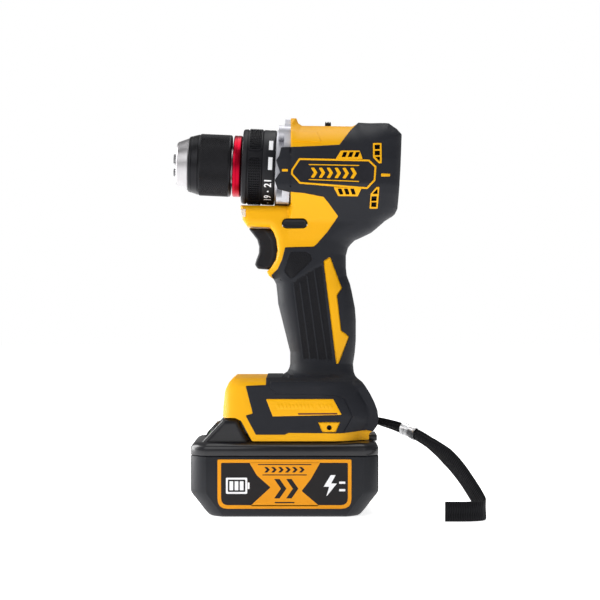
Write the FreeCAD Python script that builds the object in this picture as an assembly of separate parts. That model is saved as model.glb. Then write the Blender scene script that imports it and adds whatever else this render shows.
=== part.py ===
import FreeCAD, Part
import math
import os

os.makedirs("parts", exist_ok=True)
V = FreeCAD.Vector

# A cordless drill-driver with its slide-on battery pack, standing on the pack. Millimetres.
# +X runs from the chuck to the back of the motor, +Y to the right-hand side, +Z up.
# The origin is on the floor, under the middle of the pack.

# ---- driving dimensions ------------------------------------------------------------------
NOSE_UP_DEG = 2.5            # the head's axis rises this much towards the chuck
AXIS_HEIGHT = 218.6          # height of the head's axis above the origin
RUNNING = 0.05               # radial clearance of a running fit
GAP = 0.4                    # air between pieces that move past each other

HEAD_HALF_WIDTH = 31.0
WALL = 3.0                   # plastic wall of the clamshell
COVER = 1.6                  # thickness of the rubber moulded over it

CHUCK_NOSE = -69.0           # stations along the head's axis, measured from x = 0
SLEEVE_FRONT = -61.5
SLEEVE_REAR = -34.2
RING_FRONT = -33.0
RING_REAR = -27.7
COLLAR_FRONT = -27.2
COLLAR_REAR = -6.1
CASE_FRONT = -5.7
CASE_REAR = 26.0
SLEEVE_R = 19.7
RING_R = 19.6
COLLAR_R = 24.0
CORE_R = 11.0                # chuck body behind its nose
JAW_R = 3.1
JAW_GRIP_R = 3.25            # the jaws rest on a 6.5 mm circle
JAW_LENGTH = 26.0
JAW_SLOPE_DEG = 15.0
JAW_TIP_AXIS_R = 4.75        # radius of a jaw's own axis at its tip
JAW_TIP = -71.0

MODULE = 0.75                # both planetary stages
SUN_TEETH = 12
PLANET_TEETH = 18
RING_TEETH = 48
PLANETS = 3
FACE_WIDTH = 6.4
CENTRES = MODULE * (SUN_TEETH + PLANET_TEETH) / 2
FRONT_STAGE = 5.6            # where each stage's planets begin
REAR_STAGE = 16.0

PACK_HALF_LENGTH = 58.6
PACK_HALF_WIDTH = 37.5
PACK_SEAM = 37.7
PACK_SHOULDER = 46.2
PACK_CORNER = 15.0
CELL_R = 9.15                # 18650 cells
CELL_LENGTH = 65.0

FOOT_BOTTOM = 46.8
FOOT_HALF_WIDTH = 34.0
RAIL_TOP = 59.8              # top of the pack's rail block
RAIL_HALF_WIDTH = 26.0
NECK_HALF_WIDTH = 22.0
NECK_TOP = 51.0

TRIGGER_HALF_WIDTH = 9.0

STRAP_R = 3.0


# ---- helpers -----------------------------------------------------------------------------
def polygon(points):
    """A flat face through the points, closed."""
    return Part.Face(Part.makePolygon(list(points) + [points[0]]))


def prism_y(outline, half_width, inset=0.0):
    """A side-view (x, z) outline made solid from -half_width to +half_width."""
    face = polygon([V(x, 0, z) for x, z in outline])
    if inset:
        face = face.makeOffset2D(-inset, 2)
    face = face.copy()
    face.translate(V(0, -half_width, 0))
    return face.extrude(V(0, 2 * half_width, 0))


def prism_x(outline, x0, x1, inset=0.0):
    """A front-view (y, z) outline made solid from x0 to x1."""
    face = polygon([V(x0, y, z) for y, z in outline])
    if inset:
        face = face.makeOffset2D(-inset, 2)
    return face.extrude(V(x1 - x0, 0, 0))


def box(x0, x1, y0, y1, z0, z1):
    return Part.makeBox(x1 - x0, y1 - y0, z1 - z0, V(x0, y0, z0))


def rounded_block(half_x, half_y, corner, z0, z1, middle_x=0.0):
    """A block whose upright edges are rounded."""
    block = box(middle_x - half_x, middle_x + half_x, -half_y, half_y, z0, z1)
    upright = [e for e in block.Edges if abs(e.tangentAt(e.FirstParameter).z) > 0.9]
    return block.makeFillet(corner, upright)


def turned(profile):
    """A (radius, station) outline turned round the local Z axis."""
    face = polygon([V(r, 0, s) for r, s in profile])
    return face.revolve(V(0, 0, 0), V(0, 0, 1), 360)


def ring(outer, inner, start, end):
    return turned([(inner, start), (outer, start), (outer, end), (inner, end)])


def rod(radius, start, end, x=0.0, y=0.0):
    return Part.makeCylinder(radius, end - start, V(x, y, start))


def in_head(shape):
    """From the head's own frame, x along its axis, to the drill's frame."""
    placed = shape.copy()
    placed.rotate(V(0, 0, 0), V(0, 1, 0), NOSE_UP_DEG)
    placed.translate(V(0, 0, AXIS_HEIGHT))
    return placed


def on_axis(shape):
    """From a frame whose +Z is the head's axis to the drill's frame."""
    placed = shape.copy()
    placed.rotate(V(0, 0, 0), V(0, 1, 0), 90)
    return in_head(placed)


def turned_copies(shape, count):
    copies = []
    for i in range(count):
        copy = shape.copy()
        copy.rotate(V(0, 0, 0), V(0, 0, 1), 360.0 * i / count)
        copies.append(copy)
    return copies


def mirrored(shape):
    return shape.mirror(V(0, 0, 0), V(0, 1, 0))


def left_half(shape):
    return shape.common(box(-200, 200, -200, 0, -50, 400))


def right_half(shape):
    return shape.common(box(-200, 200, 0, 200, -50, 400))


def save(name, shape):
    """Write one node; a shape of several separate pieces stays a group of solids."""
    solids = shape.Solids
    whole = solids[0] if len(solids) == 1 else Part.makeCompound(solids)
    whole.exportStep("parts/%s.step" % name)
    print("%-20s solids %2d volume %9.1f valid %s" % (name, len(solids), shape.Volume, shape.isValid()))


def coil(radius, wire, start, end, turns):
    """A compression spring along local Z."""
    pitch = (end - start - 2 * wire) / turns
    helix = Part.makeHelix(pitch, pitch * turns, radius)
    section = Part.Wire(Part.makeCircle(wire, V(radius, 0, 0), V(0, 1, 0)))
    spring = Part.Wire(helix).makePipeShell([section], True, True)
    spring.translate(V(0, 0, start + wire))
    return spring


def screw(head_r, head_h, shank_r, length):
    """A pan-head screw, its head's top at z = 0, pointing to -Z, with a cross recess."""
    body = rod(head_r, -head_h, 0).fuse(rod(shank_r, -length, -head_h))
    slot = head_r * 1.1
    width = head_r * 0.26
    deep = head_h * 0.55
    cross = box(-slot / 2, slot / 2, -width / 2, width / 2, -deep, 1)
    cross = cross.fuse(box(-width / 2, width / 2, -slot / 2, slot / 2, -deep, 1))
    return body.cut(cross)


# ---- gears -------------------------------------------------------------------------------
PRESSURE = math.radians(20)
BACKLASH = 0.05


def involute(angle):
    return math.tan(angle) - angle


def tooth_wheel(teeth, root, tip, thinning, width, first_tooth=0.0):
    """A spur wheel with involute flanks, each flank one arc through three of its points."""
    pitch_r = MODULE * teeth / 2
    base_r = pitch_r * math.cos(PRESSURE)
    start = max(root, base_r + 0.01)

    def half_angle(radius):
        at_pitch = math.pi / (2 * teeth) - thinning / pitch_r
        return at_pitch + involute(PRESSURE) - involute(math.acos(min(1.0, base_r / radius)))

    def at(radius, angle):
        return V(radius * math.cos(angle), radius * math.sin(angle), 0)

    edges = []
    for i in range(teeth):
        middle = math.radians(first_tooth) + 2 * math.pi * i / teeth
        following = middle + 2 * math.pi / teeth
        radii = [start, (start + tip) / 2, tip]
        rise = [at(r, middle - half_angle(r)) for r in radii]
        fall = [at(r, middle + half_angle(r)) for r in reversed(radii)]
        next_root = at(root, following - half_angle(start))
        this_root = at(root, middle + half_angle(start))
        if start > root:
            edges.append(Part.LineSegment(at(root, middle - half_angle(start)), rise[0]).toShape())
        edges.append(Part.Arc(*rise).toShape())
        edges.append(Part.Arc(rise[2], at(tip, middle), fall[0]).toShape())
        edges.append(Part.Arc(*fall).toShape())
        if start > root:
            edges.append(Part.LineSegment(fall[2], this_root).toShape())
        root_middle = (middle + following) / 2
        edges.append(Part.Arc(this_root, at(root, root_middle), next_root).toShape())
    wheel = Part.Face(Part.Wire(edges))
    return wheel.extrude(V(0, 0, width))


def sun_wheel(start, width):
    pitch_r = MODULE * SUN_TEETH / 2
    wheel = tooth_wheel(SUN_TEETH, pitch_r - 0.94, pitch_r + 0.64, BACKLASH, width)
    wheel.translate(V(0, 0, start))
    return wheel


def planet_wheel(start):
    """A planet whose pin stands on the +X side of the axis; it shows gaps to sun and ring."""
    pitch_r = MODULE * PLANET_TEETH / 2
    half_pitch = 180.0 / PLANET_TEETH
    wheel = tooth_wheel(PLANET_TEETH, pitch_r - 0.94, pitch_r + 0.62, BACKLASH, FACE_WIDTH, half_pitch)
    wheel = wheel.cut(rod(1.5 + RUNNING, -1, FACE_WIDTH + 1))
    wheel.translate(V(CENTRES, 0, start))
    return wheel


def ring_wheel(start):
    pitch_r = MODULE * RING_TEETH / 2
    half_pitch = 180.0 / RING_TEETH
    space = tooth_wheel(RING_TEETH, pitch_r - 0.6, pitch_r + 0.94, -BACKLASH, FACE_WIDTH + 2, half_pitch)
    space.translate(V(0, 0, -1))
    wheel = rod(20.95, 0, FACE_WIDTH).cut(space)
    wheel.translate(V(0, 0, start))
    return wheel


def carrier(start, thickness):
    """A carrier plate with its planet pins on one side."""
    plate = rod(15.0, start, start + thickness)
    pin = rod(1.5, start + thickness, start + thickness + FACE_WIDTH + 1.0, CENTRES)
    for one in turned_copies(pin, PLANETS):
        plate = plate.fuse(one)
    return plate


save("ring_gear_front", on_axis(ring_wheel(FRONT_STAGE)))
save("ring_gear_rear", on_axis(ring_wheel(REAR_STAGE)))
for stage, start in (("front", FRONT_STAGE), ("rear", REAR_STAGE)):
    for number, planet in enumerate(turned_copies(planet_wheel(start), PLANETS), 1):
        save("planet_%s_%d" % (stage, number), on_axis(planet))

FRONT_PLATE = 1.4
REAR_PLATE = 12.8
save("carrier_front", on_axis(carrier(FRONT_PLATE, 3.8)))
rear_carrier = carrier(REAR_PLATE, 2.8).fuse(sun_wheel(FRONT_STAGE, REAR_PLATE - FRONT_STAGE))
save("carrier_rear", on_axis(rear_carrier))

# ---- chuck -------------------------------------------------------------------------------
slope = math.radians(JAW_SLOPE_DEG)


def jaw_axis_r(station):
    return JAW_TIP_AXIS_R + (station - JAW_TIP) * math.tan(slope)


def inclined(shape, station):
    """Lay a piece built along +Z on a jaw's own axis, starting at a station."""
    placed = shape.copy()
    placed.rotate(V(0, 0, 0), V(0, 1, 0), JAW_SLOPE_DEG)
    placed.translate(V(jaw_axis_r(station), 0, station))
    return placed


body = turned([
    (0, CHUCK_NOSE), (13.2, CHUCK_NOSE), (13.9, CHUCK_NOSE + 0.7), (16.5, SLEEVE_FRONT - 0.3),
    (15.95, SLEEVE_FRONT - 0.3), (15.95, -58.6), (CORE_R, -58.6), (CORE_R, RING_REAR), (0, RING_REAR),
])
body = body.cut(turned([(0, CHUCK_NOSE - 1), (9.4, CHUCK_NOSE - 1), (9.2, CHUCK_NOSE), (5.25, -64.8),
                        (5.25, -38.2), (4.8, -38.2), (4.8, RING_REAR + 1), (0, RING_REAR + 1)]))
jaw_way = inclined(rod(JAW_R + RUNNING, -6, JAW_LENGTH + 10), JAW_TIP)
for one in turned_copies(jaw_way, PLANETS):
    body = body.cut(one)
save("chuck_body", on_axis(body))

sleeve = turned([
    (16.5, SLEEVE_FRONT), (17.3, SLEEVE_FRONT), (18.9, -55.6), (SLEEVE_R, -54.7),
    (SLEEVE_R, SLEEVE_REAR - 1.2), (SLEEVE_R - 0.9, SLEEVE_REAR), (CORE_R + RUNNING, SLEEVE_REAR),
    (CORE_R + RUNNING, -36.4), (17.2, -36.4), (17.2, -58.4), (16.0, -58.4), (16.0, SLEEVE_FRONT),
])
save("chuck_sleeve", on_axis(sleeve))


def jaw_edge_r(station):
    return jaw_axis_r(station) + JAW_R / math.cos(slope) + 0.15


nut = turned([(jaw_edge_r(-57.0), -57.0), (17.1, -57.0), (17.1, -50.0), (jaw_edge_r(-50.0), -50.0)])
save("chuck_nut", on_axis(nut))

wedge_half = 0.6
wedge_far = 22.0
wedge_spread = (wedge_far - JAW_GRIP_R) * math.tan(math.radians(59.0))
wedge = polygon([
    V(JAW_GRIP_R, -wedge_half, -80), V(JAW_GRIP_R, wedge_half, -80),
    V(wedge_far, wedge_half + wedge_spread, -80), V(wedge_far, -wedge_half - wedge_spread, -80),
]).extrude(V(0, 0, 60))
tip_keep = Part.makeCylinder(30, 60, V(0, 0, JAW_TIP))
jaw = inclined(rod(JAW_R, -4, JAW_LENGTH), JAW_TIP).common(wedge).common(tip_keep)
for number, one in enumerate(turned_copies(jaw, PLANETS), 1):
    save("jaw_%d" % number, on_axis(one))

red_ring = turned([
    (CORE_R, RING_FRONT), (RING_R - 0.8, RING_FRONT), (RING_R, RING_FRONT + 0.8),
    (RING_R, RING_REAR - 0.8), (RING_R - 0.8, RING_REAR), (CORE_R, RING_REAR),
])
save("chuck_ring", on_axis(red_ring))

spindle = turned([
    (0, -38.0), (4.3, -38.0), (4.75, -37.5), (4.75, -27.6), (6.0, -27.6), (6.0, -11.5),
    (7.5, -11.5), (7.5, -9.0), (6.0, -9.0), (6.0, 1.4), (0, 1.4),
])
save("spindle", on_axis(spindle))
save("spindle_bearing", on_axis(ring(12.0, 6.0 + RUNNING, -20.0, -12.0)))

# ---- clutch ------------------------------------------------------------------------------
NOSE_TUBE_R = 15.2
collar = turned([
    (NOSE_TUBE_R + RUNNING, COLLAR_FRONT), (COLLAR_R - 1.2, COLLAR_FRONT), (COLLAR_R, COLLAR_FRONT + 1.2),
    (COLLAR_R, COLLAR_REAR - 0.6), (COLLAR_R - 0.6, COLLAR_REAR), (20.9, COLLAR_REAR), (20.9, -25.2),
    (NOSE_TUBE_R + RUNNING, -25.2),
])
save("torque_collar", on_axis(collar))
save("clutch_nut", on_axis(ring(20.6, NOSE_TUBE_R + RUNNING, -24.6, -19.6)))
save("clutch_spring", on_axis(coil(18.0, 1.3, -19.5, -8.1, 3)))

# ---- gear case ---------------------------------------------------------------------------
shell = turned([
    (8.0, -27.0), (NOSE_TUBE_R, -27.0), (NOSE_TUBE_R, -8.0), (20.2, -8.0), (20.2, CASE_FRONT),
    (24.0, CASE_FRONT), (24.0, 3.6), (23.6, 3.6), (23.6, CASE_REAR), (21.0, CASE_REAR), (21.0, 0.8),
    (12.0, 0.8), (12.0, -20.0), (8.0, -20.0),
])
FLANGE = [
    (-26.6, -8.0), (-21.0, -22.6), (21.0, -22.6), (26.6, -8.0), (26.6, 14.0), (20.5, 26.5),
    (9.0, 30.4), (-9.0, 30.4), (-20.5, 26.5), (-26.6, 14.0),
]
flange = prism_x([(y, z) for y, z in FLANGE], -1.0, 3.6)
flange = flange.cut(Part.makeCylinder(21.0, 30, V(-10, 0, 0), V(1, 0, 0)))
BOSSES = [(-19.0, 20.8), (19.0, 20.8), (-17.2, -19.2), (17.2, -19.2)]
bosses = None
for y, z in BOSSES:
    boss = Part.makeCylinder(4.6, 8.2, V(-4.6, y, z), V(1, 0, 0))
    bosses = boss if bosses is None else bosses.fuse(boss)
case = on_axis(shell).fuse(in_head(flange)).fuse(in_head(bosses))
gear_screws = []
for y, z in BOSSES:
    one = screw(2.9, 2.0, 1.45, 8.5)
    one.rotate(V(0, 0, 0), V(0, 1, 0), -90)
    one.translate(V(-4.6, y, z))
    gear_screws.append(in_head(one))
    hole = Part.makeCylinder(1.5, 9.0, V(-5, y, z), V(1, 0, 0))
    seat = Part.makeCylinder(3.0, 2.1, V(-4.7, y, z), V(1, 0, 0))
    case = case.cut(in_head(hole)).cut(in_head(seat))
hollow = on_axis(ring(21.0, 0.001, 0.8, CASE_REAR + 1))
case = case.cut(hollow)
save("gear_case", case)
save("gear_case_screws", Part.makeCompound(gear_screws))

# ---- motor -------------------------------------------------------------------------------
SHAFT_R = 2.5
STATOR_FRONT = 34.0
STATOR_REAR = 50.0
STATOR_R = 23.0
FAN_FRONT = 56.0
SLOTS = 6

motor_plate = ring(20.9, 5.0, CASE_REAR - 2.4, CASE_REAR).fuse(ring(23.6, 5.0, CASE_REAR, CASE_REAR + 1.2))
motor_plate = motor_plate.fuse(ring(10.5, 8.0, CASE_REAR + 1.2, CASE_REAR + 5.2))
save("motor_plate", on_axis(motor_plate))

stator = ring(STATOR_R, 18.5, STATOR_FRONT, STATOR_REAR)
tooth = box(12.4, 19.5, -3.0, 3.0, STATOR_FRONT, STATOR_REAR)
shoe = ring(13.9, 12.2, STATOR_FRONT, STATOR_REAR).common(box(9, 15, -5.4, 5.4, 0, 60))
for one in turned_copies(tooth.fuse(shoe), SLOTS):
    stator = stator.fuse(one)
save("motor_stator", on_axis(stator))

coil_block = box(14.2, 17.4, -5.6, 5.6, STATOR_FRONT - 3.6, STATOR_REAR + 3.6)
coil_block = coil_block.makeFillet(1.2, [e for e in coil_block.Edges if abs(e.tangentAt(0).x) > 0.9])
coil_block = coil_block.cut(box(10, 20, -3.2, 3.2, STATOR_FRONT - 0.4, STATOR_REAR + 0.4))
save("motor_windings", on_axis(Part.makeCompound(turned_copies(coil_block, SLOTS))))

shaft = rod(SHAFT_R, REAR_STAGE + 6.0, 67.0).fuse(sun_wheel(REAR_STAGE, 6.0))
save("rotor_shaft", on_axis(shaft))
save("rotor_magnets", on_axis(ring(11.7, SHAFT_R, 33.0, 51.0)))

bearing = ring(8.0, SHAFT_R + 0.02, 0, 4.6)
front_bearing = bearing.copy()
front_bearing.translate(V(0, 0, CASE_REAR + 1.2))
rear_bearing = bearing.copy()
rear_bearing.translate(V(0, 0, 62.4))
save("motor_bearings", on_axis(Part.makeCompound([front_bearing, rear_bearing])))

fan = ring(6.0, SHAFT_R, FAN_FRONT, 61.0).fuse(ring(20.5, SHAFT_R, FAN_FRONT, FAN_FRONT + 1.2))
blade = box(5.5, 20.0, -0.6, 0.6, FAN_FRONT + 1.0, 60.5)
for one in turned_copies(blade, 11):
    fan = fan.fuse(one)
save("cooling_fan", on_axis(fan))

# ---- clamshell ---------------------------------------------------------------------------
HEAD_OUTLINE = [
    (3.8, 168.6), (3.8, 245.0), (42.5, 245.0), (46.7, 246.6), (65.3, 245.6), (70.4, 241.9),
    (73.3, 238.0), (72.6, 216.3), (71.2, 195.8), (69.1, 188.8), (64.0, 185.6), (55.0, 177.9),
    (49.9, 175.4), (42.0, 171.0), (30.0, 164.0), (20.0, 164.0),
]
HEAD_FRONT_VIEW = [
    (-17.5, 160.0), (-17.5, 188.0), (-31.0, 203.0), (-31.0, 234.0), (-22.0, 247.5),
    (22.0, 247.5), (31.0, 234.0), (31.0, 203.0), (17.5, 188.0), (17.5, 160.0),
]
SHROUD_OUTLINE = [
    (-28.2, 194.3), (-26.6, 185.0), (-23.9, 181.1), (-9.4, 180.3), (-6.3, 176.0), (-4.8, 170.0),
    (-4.9, 164.0), (-6.6, 158.0), (-11.5, 152.3), (-10.2, 149.8), (-6.4, 147.2), (20.0, 147.0),
    (30.0, 160.0), (30.0, 193.6),
]
SHROUD_HALF_WIDTH = 17.5
FOOT_OUTLINE = [
    (-38.7, 60.6), (-38.4, 67.8), (-37.1, 78.1), (-34.6, 83.2), (-31.5, 85.8), (44.5, 85.8),
    (49.9, 80.6), (53.1, 75.5), (55.7, 70.4), (57.6, 65.3), (58.2, 58.0), (55.4, 52.6),
    (52.8, 50.4), (52.8, FOOT_BOTTOM), (-21.5, FOOT_BOTTOM), (-28.6, 60.6),
]
GRIP_SECTIONS = [            # height, front, back, half width
    (82.0, 0.0, 47.0, 20.0), (89.0, 2.4, 43.4, 18.0), (100.0, 3.8, 44.0, 17.2),
    (112.0, 1.0, 44.8, 17.4), (126.0, -2.4, 44.4, 18.0), (139.5, -4.5, 42.2, 18.4),
    (154.0, -5.2, 38.6, 18.2), (166.0, -4.0, 38.9, 17.6), (174.0, -3.0, 44.0, 17.4),
]


def grip(inset):
    """The handle, lofted through rounded sections."""
    rings = []
    for height, front, back, half_width in GRIP_SECTIONS:
        half_length = (back - front) / 2 - inset
        middle = (back + front) / 2
        across = half_width - inset
        points = []
        for step in range(16):
            angle = 2 * math.pi * step / 16
            c = math.cos(angle)
            s = math.sin(angle)
            points.append(V(
                middle + half_length * math.copysign(abs(c) ** 0.8, c),
                across * math.copysign(abs(s) ** 0.8, s),
                height,
            ))
        curve = Part.BSplineCurve()
        curve.interpolate(points, PeriodicFlag=True)
        rings.append(Part.Wire(curve.toShape()))
    return Part.makeLoft(rings, True, False)


def foot(inset):
    side = prism_y(FOOT_OUTLINE, FOOT_HALF_WIDTH - inset, inset)
    plan = rounded_block(48.45 - inset, FOOT_HALF_WIDTH - inset, 14.0 - inset, 30, 100, 9.75)
    return side.common(plan)


def outside(inset):
    """The whole case as one solid, drawn in by inset all round."""
    head = prism_y(HEAD_OUTLINE, HEAD_HALF_WIDTH + 5, inset).common(prism_x(HEAD_FRONT_VIEW, 0, 80, inset))
    shroud = prism_y(SHROUD_OUTLINE, SHROUD_HALF_WIDTH - inset, inset)
    return head.fuse(shroud).fuse(grip(inset)).fuse(foot(inset))


BLACK_OUTLINE = [
    (-3.4, 232.4), (-4.2, 224.5), (-3.4, 214.5), (-6.4, 210.5), (-4.7, 205.0), (1.9, 203.5),
    (24.7, 200.6), (34.1, 188.3), (20.1, 170.0), (18.4, 168.6), (1.7, 168.4), (-1.7, 160.0),
    (-4.5, 153.8), (-8.7, 149.9), (-14.0, 146.0), (-14.0, 88.0), (-12.2, 80.5), (-25.3, 79.5),
    (-20.7, 61.7), (-25.3, 60.5), (-18.7, 48.1), (-0.1, 48.1), (35.6, 48.9), (52.5, 50.6),
    (70.0, 53.0), (90.0, 100.0), (90.0, 260.0), (46.7, 260.0), (42.9, 244.5), (35.0, 234.0),
]
case_body = outside(0).cut(outside(WALL).cut(box(-60, 60, -40, 40, 30, 63.4)))
case_body = case_body.cut(on_axis(rod(24.4, -40, 62.0)))

trigger_way = box(-40, 8.0, -TRIGGER_HALF_WIDTH - GAP, TRIGGER_HALF_WIDTH + GAP, 153.2, 180.6)
case_body = case_body.cut(trigger_way)
rail_way = box(-60, 50.6, -RAIL_HALF_WIDTH - GAP, RAIL_HALF_WIDTH + GAP, NECK_TOP - GAP, RAIL_TOP + GAP)
neck_way = box(-60, 50.6, -NECK_HALF_WIDTH - GAP, NECK_HALF_WIDTH + GAP, 40, NECK_TOP)
horn_way = box(45, 62, -16.0, 16.0, 40, 50.0)
case_body = case_body.cut(rail_way).cut(neck_way).cut(horn_way)
case_body = case_body.cut(box(3.5, 34.5, -17.5, 17.5, 60.0, 64.0))

BUTTON_Z = 183.0
BUTTON_X = 6.2


def stadium(half_length, radius, half_width):
    """A push-through button's shape, lying along Y."""
    body = box(BUTTON_X - half_length + radius, BUTTON_X + half_length - radius,
               -half_width, half_width, BUTTON_Z - radius, BUTTON_Z + radius)
    for side in (-1, 1):
        middle = V(BUTTON_X + side * (half_length - radius), -half_width, BUTTON_Z)
        body = body.fuse(Part.makeCylinder(radius, 2 * half_width, middle, V(0, 1, 0)))
    return body


case_body = case_body.cut(stadium(8.3, 3.4, 40))
SELECTOR_TOP = 243.6
case_body = case_body.cut(box(18.2, 29.8, -3.6, 3.6, 236, 250))
case_body = case_body.cut(box(11.0, 38.5, -6.4, 6.4, 236, SELECTOR_TOP))

# the lamp's seat runs right across the nose; a channel behind it takes the light's wires
LENS_REAR = -23.0
LENS_LOW = 186.6
LENS_HIGH = 192.0
case_body = case_body.cut(box(-30.0, LENS_REAR, -18.0, 18.0, LENS_LOW, LENS_HIGH))
case_body = case_body.cut(box(LENS_REAR - 0.1, -10.0, -3.0, 3.0, LENS_LOW + 1.0, LENS_HIGH - 1.0))
HOOK_X = 27.7                # the belt hook's threaded inserts, one on each side
HOOK_Z = 55.2
HOOK_INSERT_R = 3.2
HOOK_THREAD_R = 1.7
HOOK_LENGTH = 6.6
hook_way = Part.makeCylinder(HOOK_INSERT_R, 80, V(HOOK_X, -40, HOOK_Z), V(0, 1, 0))
case_body = case_body.cut(hook_way)
case_body = case_body.cut(box(52.0, 60.0, -4.0, 4.0, 53.8, 60.8))

# the roof's raised front edge
brow = prism_y([(3.9, 244.0), (3.9, 250.2), (7.4, 250.2), (11.0, 244.0)], 9.0)
flange_way = in_head(prism_x([(y * 1.02, z * 1.02) for y, z in FLANGE], -6.0, 3.9))
case_body = case_body.fuse(brow).cut(flange_way)

# bosses across the shell, and the screws that close it from the right
SHELL_SCREWS = [             # x, z, half width of the shell there
    (67.3, 236.5, 29.2), (65.5, 194.0, 22.9), (37.5, 181.5, 17.5), (4.5, 140.0, 14.5),
    (37.0, 100.0, 13.5), (-28.0, 73.0, 33.8), (47.5, 72.0, 30.0),
]
shell_screws = []
inside = outside(1.0)
for x, z, half_width in SHELL_SCREWS:
    boss = Part.makeCylinder(4.2, 80, V(x, -40, z), V(0, 1, 0)).common(inside)
    case_body = case_body.fuse(boss)
    sunk = half_width - 5.0
    case_body = case_body.cut(Part.makeCylinder(2.9, 40, V(x, sunk - 2.2, z), V(0, 1, 0)))
    case_body = case_body.cut(Part.makeCylinder(1.3, 24, V(x, sunk - 22, z), V(0, 1, 0)))
    one = screw(2.7, 2.0, 1.25, 20.0)
    one.rotate(V(0, 0, 0), V(1, 0, 0), -90)
    one.translate(V(x, sunk, z))
    shell_screws.append(one)
save("housing_screws", Part.makeCompound(shell_screws))

BADGE = [(9.0, 222.6), (52.6, 221.7), (57.1, 217.5), (56.5, 208.7), (51.5, 203.4), (9.3, 206.7),
         (4.0, 212.6), (4.2, 215.4)]
badge = prism_y(BADGE, 31.6).cut(box(-100, 100, -30.2, 30.2, 0, 300))
save("side_badges", badge)
FOOT_PLATE = [(-11.5, 73.0), (30.2, 73.0), (35.5, 63.2), (-7.3, 62.2)]
foot_plate = prism_y(FOOT_PLATE, 34.3).cut(box(-100, 100, -33.2, 33.2, 0, 300))
save("foot_plates", foot_plate)
case_body = case_body.cut(badge).cut(foot_plate)
case_body = case_body.fuse(on_axis(ring(10.8, 8.0 + 0.02, 62.4, 71.0)).common(inside))
case_body = case_body.cut(on_axis(rod(8.0 + 0.02, 62.0, 67.6)))

black_zone = prism_y(BLACK_OUTLINE, 60)
cover = case_body.common(black_zone).cut(outside(COVER))
tongue = prism_y([(-3.4, 232.4), (-4.2, 224.5), (-3.4, 214.5), (-6.4, 210.5), (-4.7, 205.0), (3.7, 203.4),
                  (3.7, 232.4)], HEAD_HALF_WIDTH).cut(box(-20, 10, -27.4, 27.4, 190, 250))
cover = cover.fuse(tongue)
yellow = case_body.cut(cover)


def biggest(shape, least=50.0):
    """Drop the slivers that the cuts leave."""
    kept = [s for s in shape.Solids if s.Volume > least]
    return kept[0] if len(kept) == 1 else Part.makeCompound(kept)


save("housing_left", biggest(left_half(yellow)))
save("housing_right", biggest(right_half(yellow)))
save("grip_cover_left", biggest(left_half(cover)))
save("grip_cover_right", biggest(right_half(cover)))

LENS_GAP = 0.2
lens_outline = [
    (-27.9, LENS_HIGH - LENS_GAP), (-27.0, LENS_LOW + LENS_GAP), (LENS_REAR - LENS_GAP, LENS_LOW + LENS_GAP),
    (LENS_REAR - LENS_GAP, LENS_HIGH - LENS_GAP),
]
save("lamp_lens", prism_y(lens_outline, SHROUD_HALF_WIDTH - LENS_GAP))

# ---- controls ----------------------------------------------------------------------------
TRIGGER = [
    (-23.7, 179.9), (-20.5, 176.6), (-17.3, 172.8), (-16.0, 168.3), (-16.3, 164.2), (-18.0, 160.0),
    (-19.1, 156.8), (-17.3, 154.3), (-10.4, 153.8), (-5.5, 154.2), (-3.2, 158.0), (-3.0, 176.0),
    (-5.0, 179.9),
]
save("trigger", prism_y(TRIGGER, TRIGGER_HALF_WIDTH))
SWITCH_FRONT = 9.0
SWITCH_LENGTH = 22.0
SWITCH_HALF_WIDTH = 9.5
SWITCH_LOW = 156.0
SWITCH_HIGH = 176.0
TRIGGER_SPRING_R = 4.0
TRIGGER_SPRING_WIRE = 0.5
TRIGGER_SPRING_Z = 167.0
switch_rear = SWITCH_FRONT + SWITCH_LENGTH
save("switch_body", box(SWITCH_FRONT, switch_rear, -SWITCH_HALF_WIDTH, SWITCH_HALF_WIDTH, SWITCH_LOW, SWITCH_HIGH))
trigger_spring = coil(TRIGGER_SPRING_R, TRIGGER_SPRING_WIRE, -2.7, SWITCH_FRONT - 0.1, 5)
trigger_spring.rotate(V(0, 0, 0), V(0, 1, 0), 90)
trigger_spring.translate(V(0, 0, TRIGGER_SPRING_Z))
save("trigger_spring", trigger_spring)
save("direction_button", stadium(8.0, 3.1, 19.0))
nub = box(25.6, 29.4, -3.2, 3.2, 242.6, 248.1).fuse(box(19.5, 33.0, -6.0, 6.0, 242.4, 243.3))
save("gear_selector", nub)

# ---- foot fittings -----------------------------------------------------------------------
TERMINAL_Y = (-16.0, -8.0, 0.0, 8.0, 16.0)
terminals = box(4.0, 34.0, -17.2, 17.2, 60.6, 68.0)
for y in TERMINAL_Y:
    terminals = terminals.fuse(box(29.0, 33.6, y - 0.6, y + 0.6, 53.2, 61.0))
save("terminal_block", terminals)
save("control_board", box(-26.0, 1.0, -22.0, 22.0, 65.0, 66.6))
insert = Part.makeCylinder(HOOK_INSERT_R, HOOK_LENGTH, V(HOOK_X, 0.4 - FOOT_HALF_WIDTH, HOOK_Z), V(0, 1, 0))
insert = insert.cut(Part.makeCylinder(HOOK_THREAD_R, 20, V(HOOK_X, -40, HOOK_Z), V(0, 1, 0)))
save("belt_hook_inserts", Part.makeCompound([insert, mirrored(insert)]))

STRAP_START = 58.4
STRAP_ROUTE = [
    (STRAP_START, 0, 57.3), (65.5, -1.5, 55.6), (74.0, -4.5, 53.0), (84.5, -9.5, 48.8),
    (94.4, -16, 42.5), (103.5, -23, 35), (110.5, -30, 26.5), (116.0, -37, 17.8), (120.3, -43, 10.5),
    (122.6, -48.6, 6.4), (120.8, -54.6, 6.2), (114.6, -58.0, 6.2), (106.5, -59.0, 6.2),
    (97.5, -58.6, 6.2),
]
save("strap_eyelet", box(52.2, STRAP_START, -3.8, 3.8, 54.0, 60.6))


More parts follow.
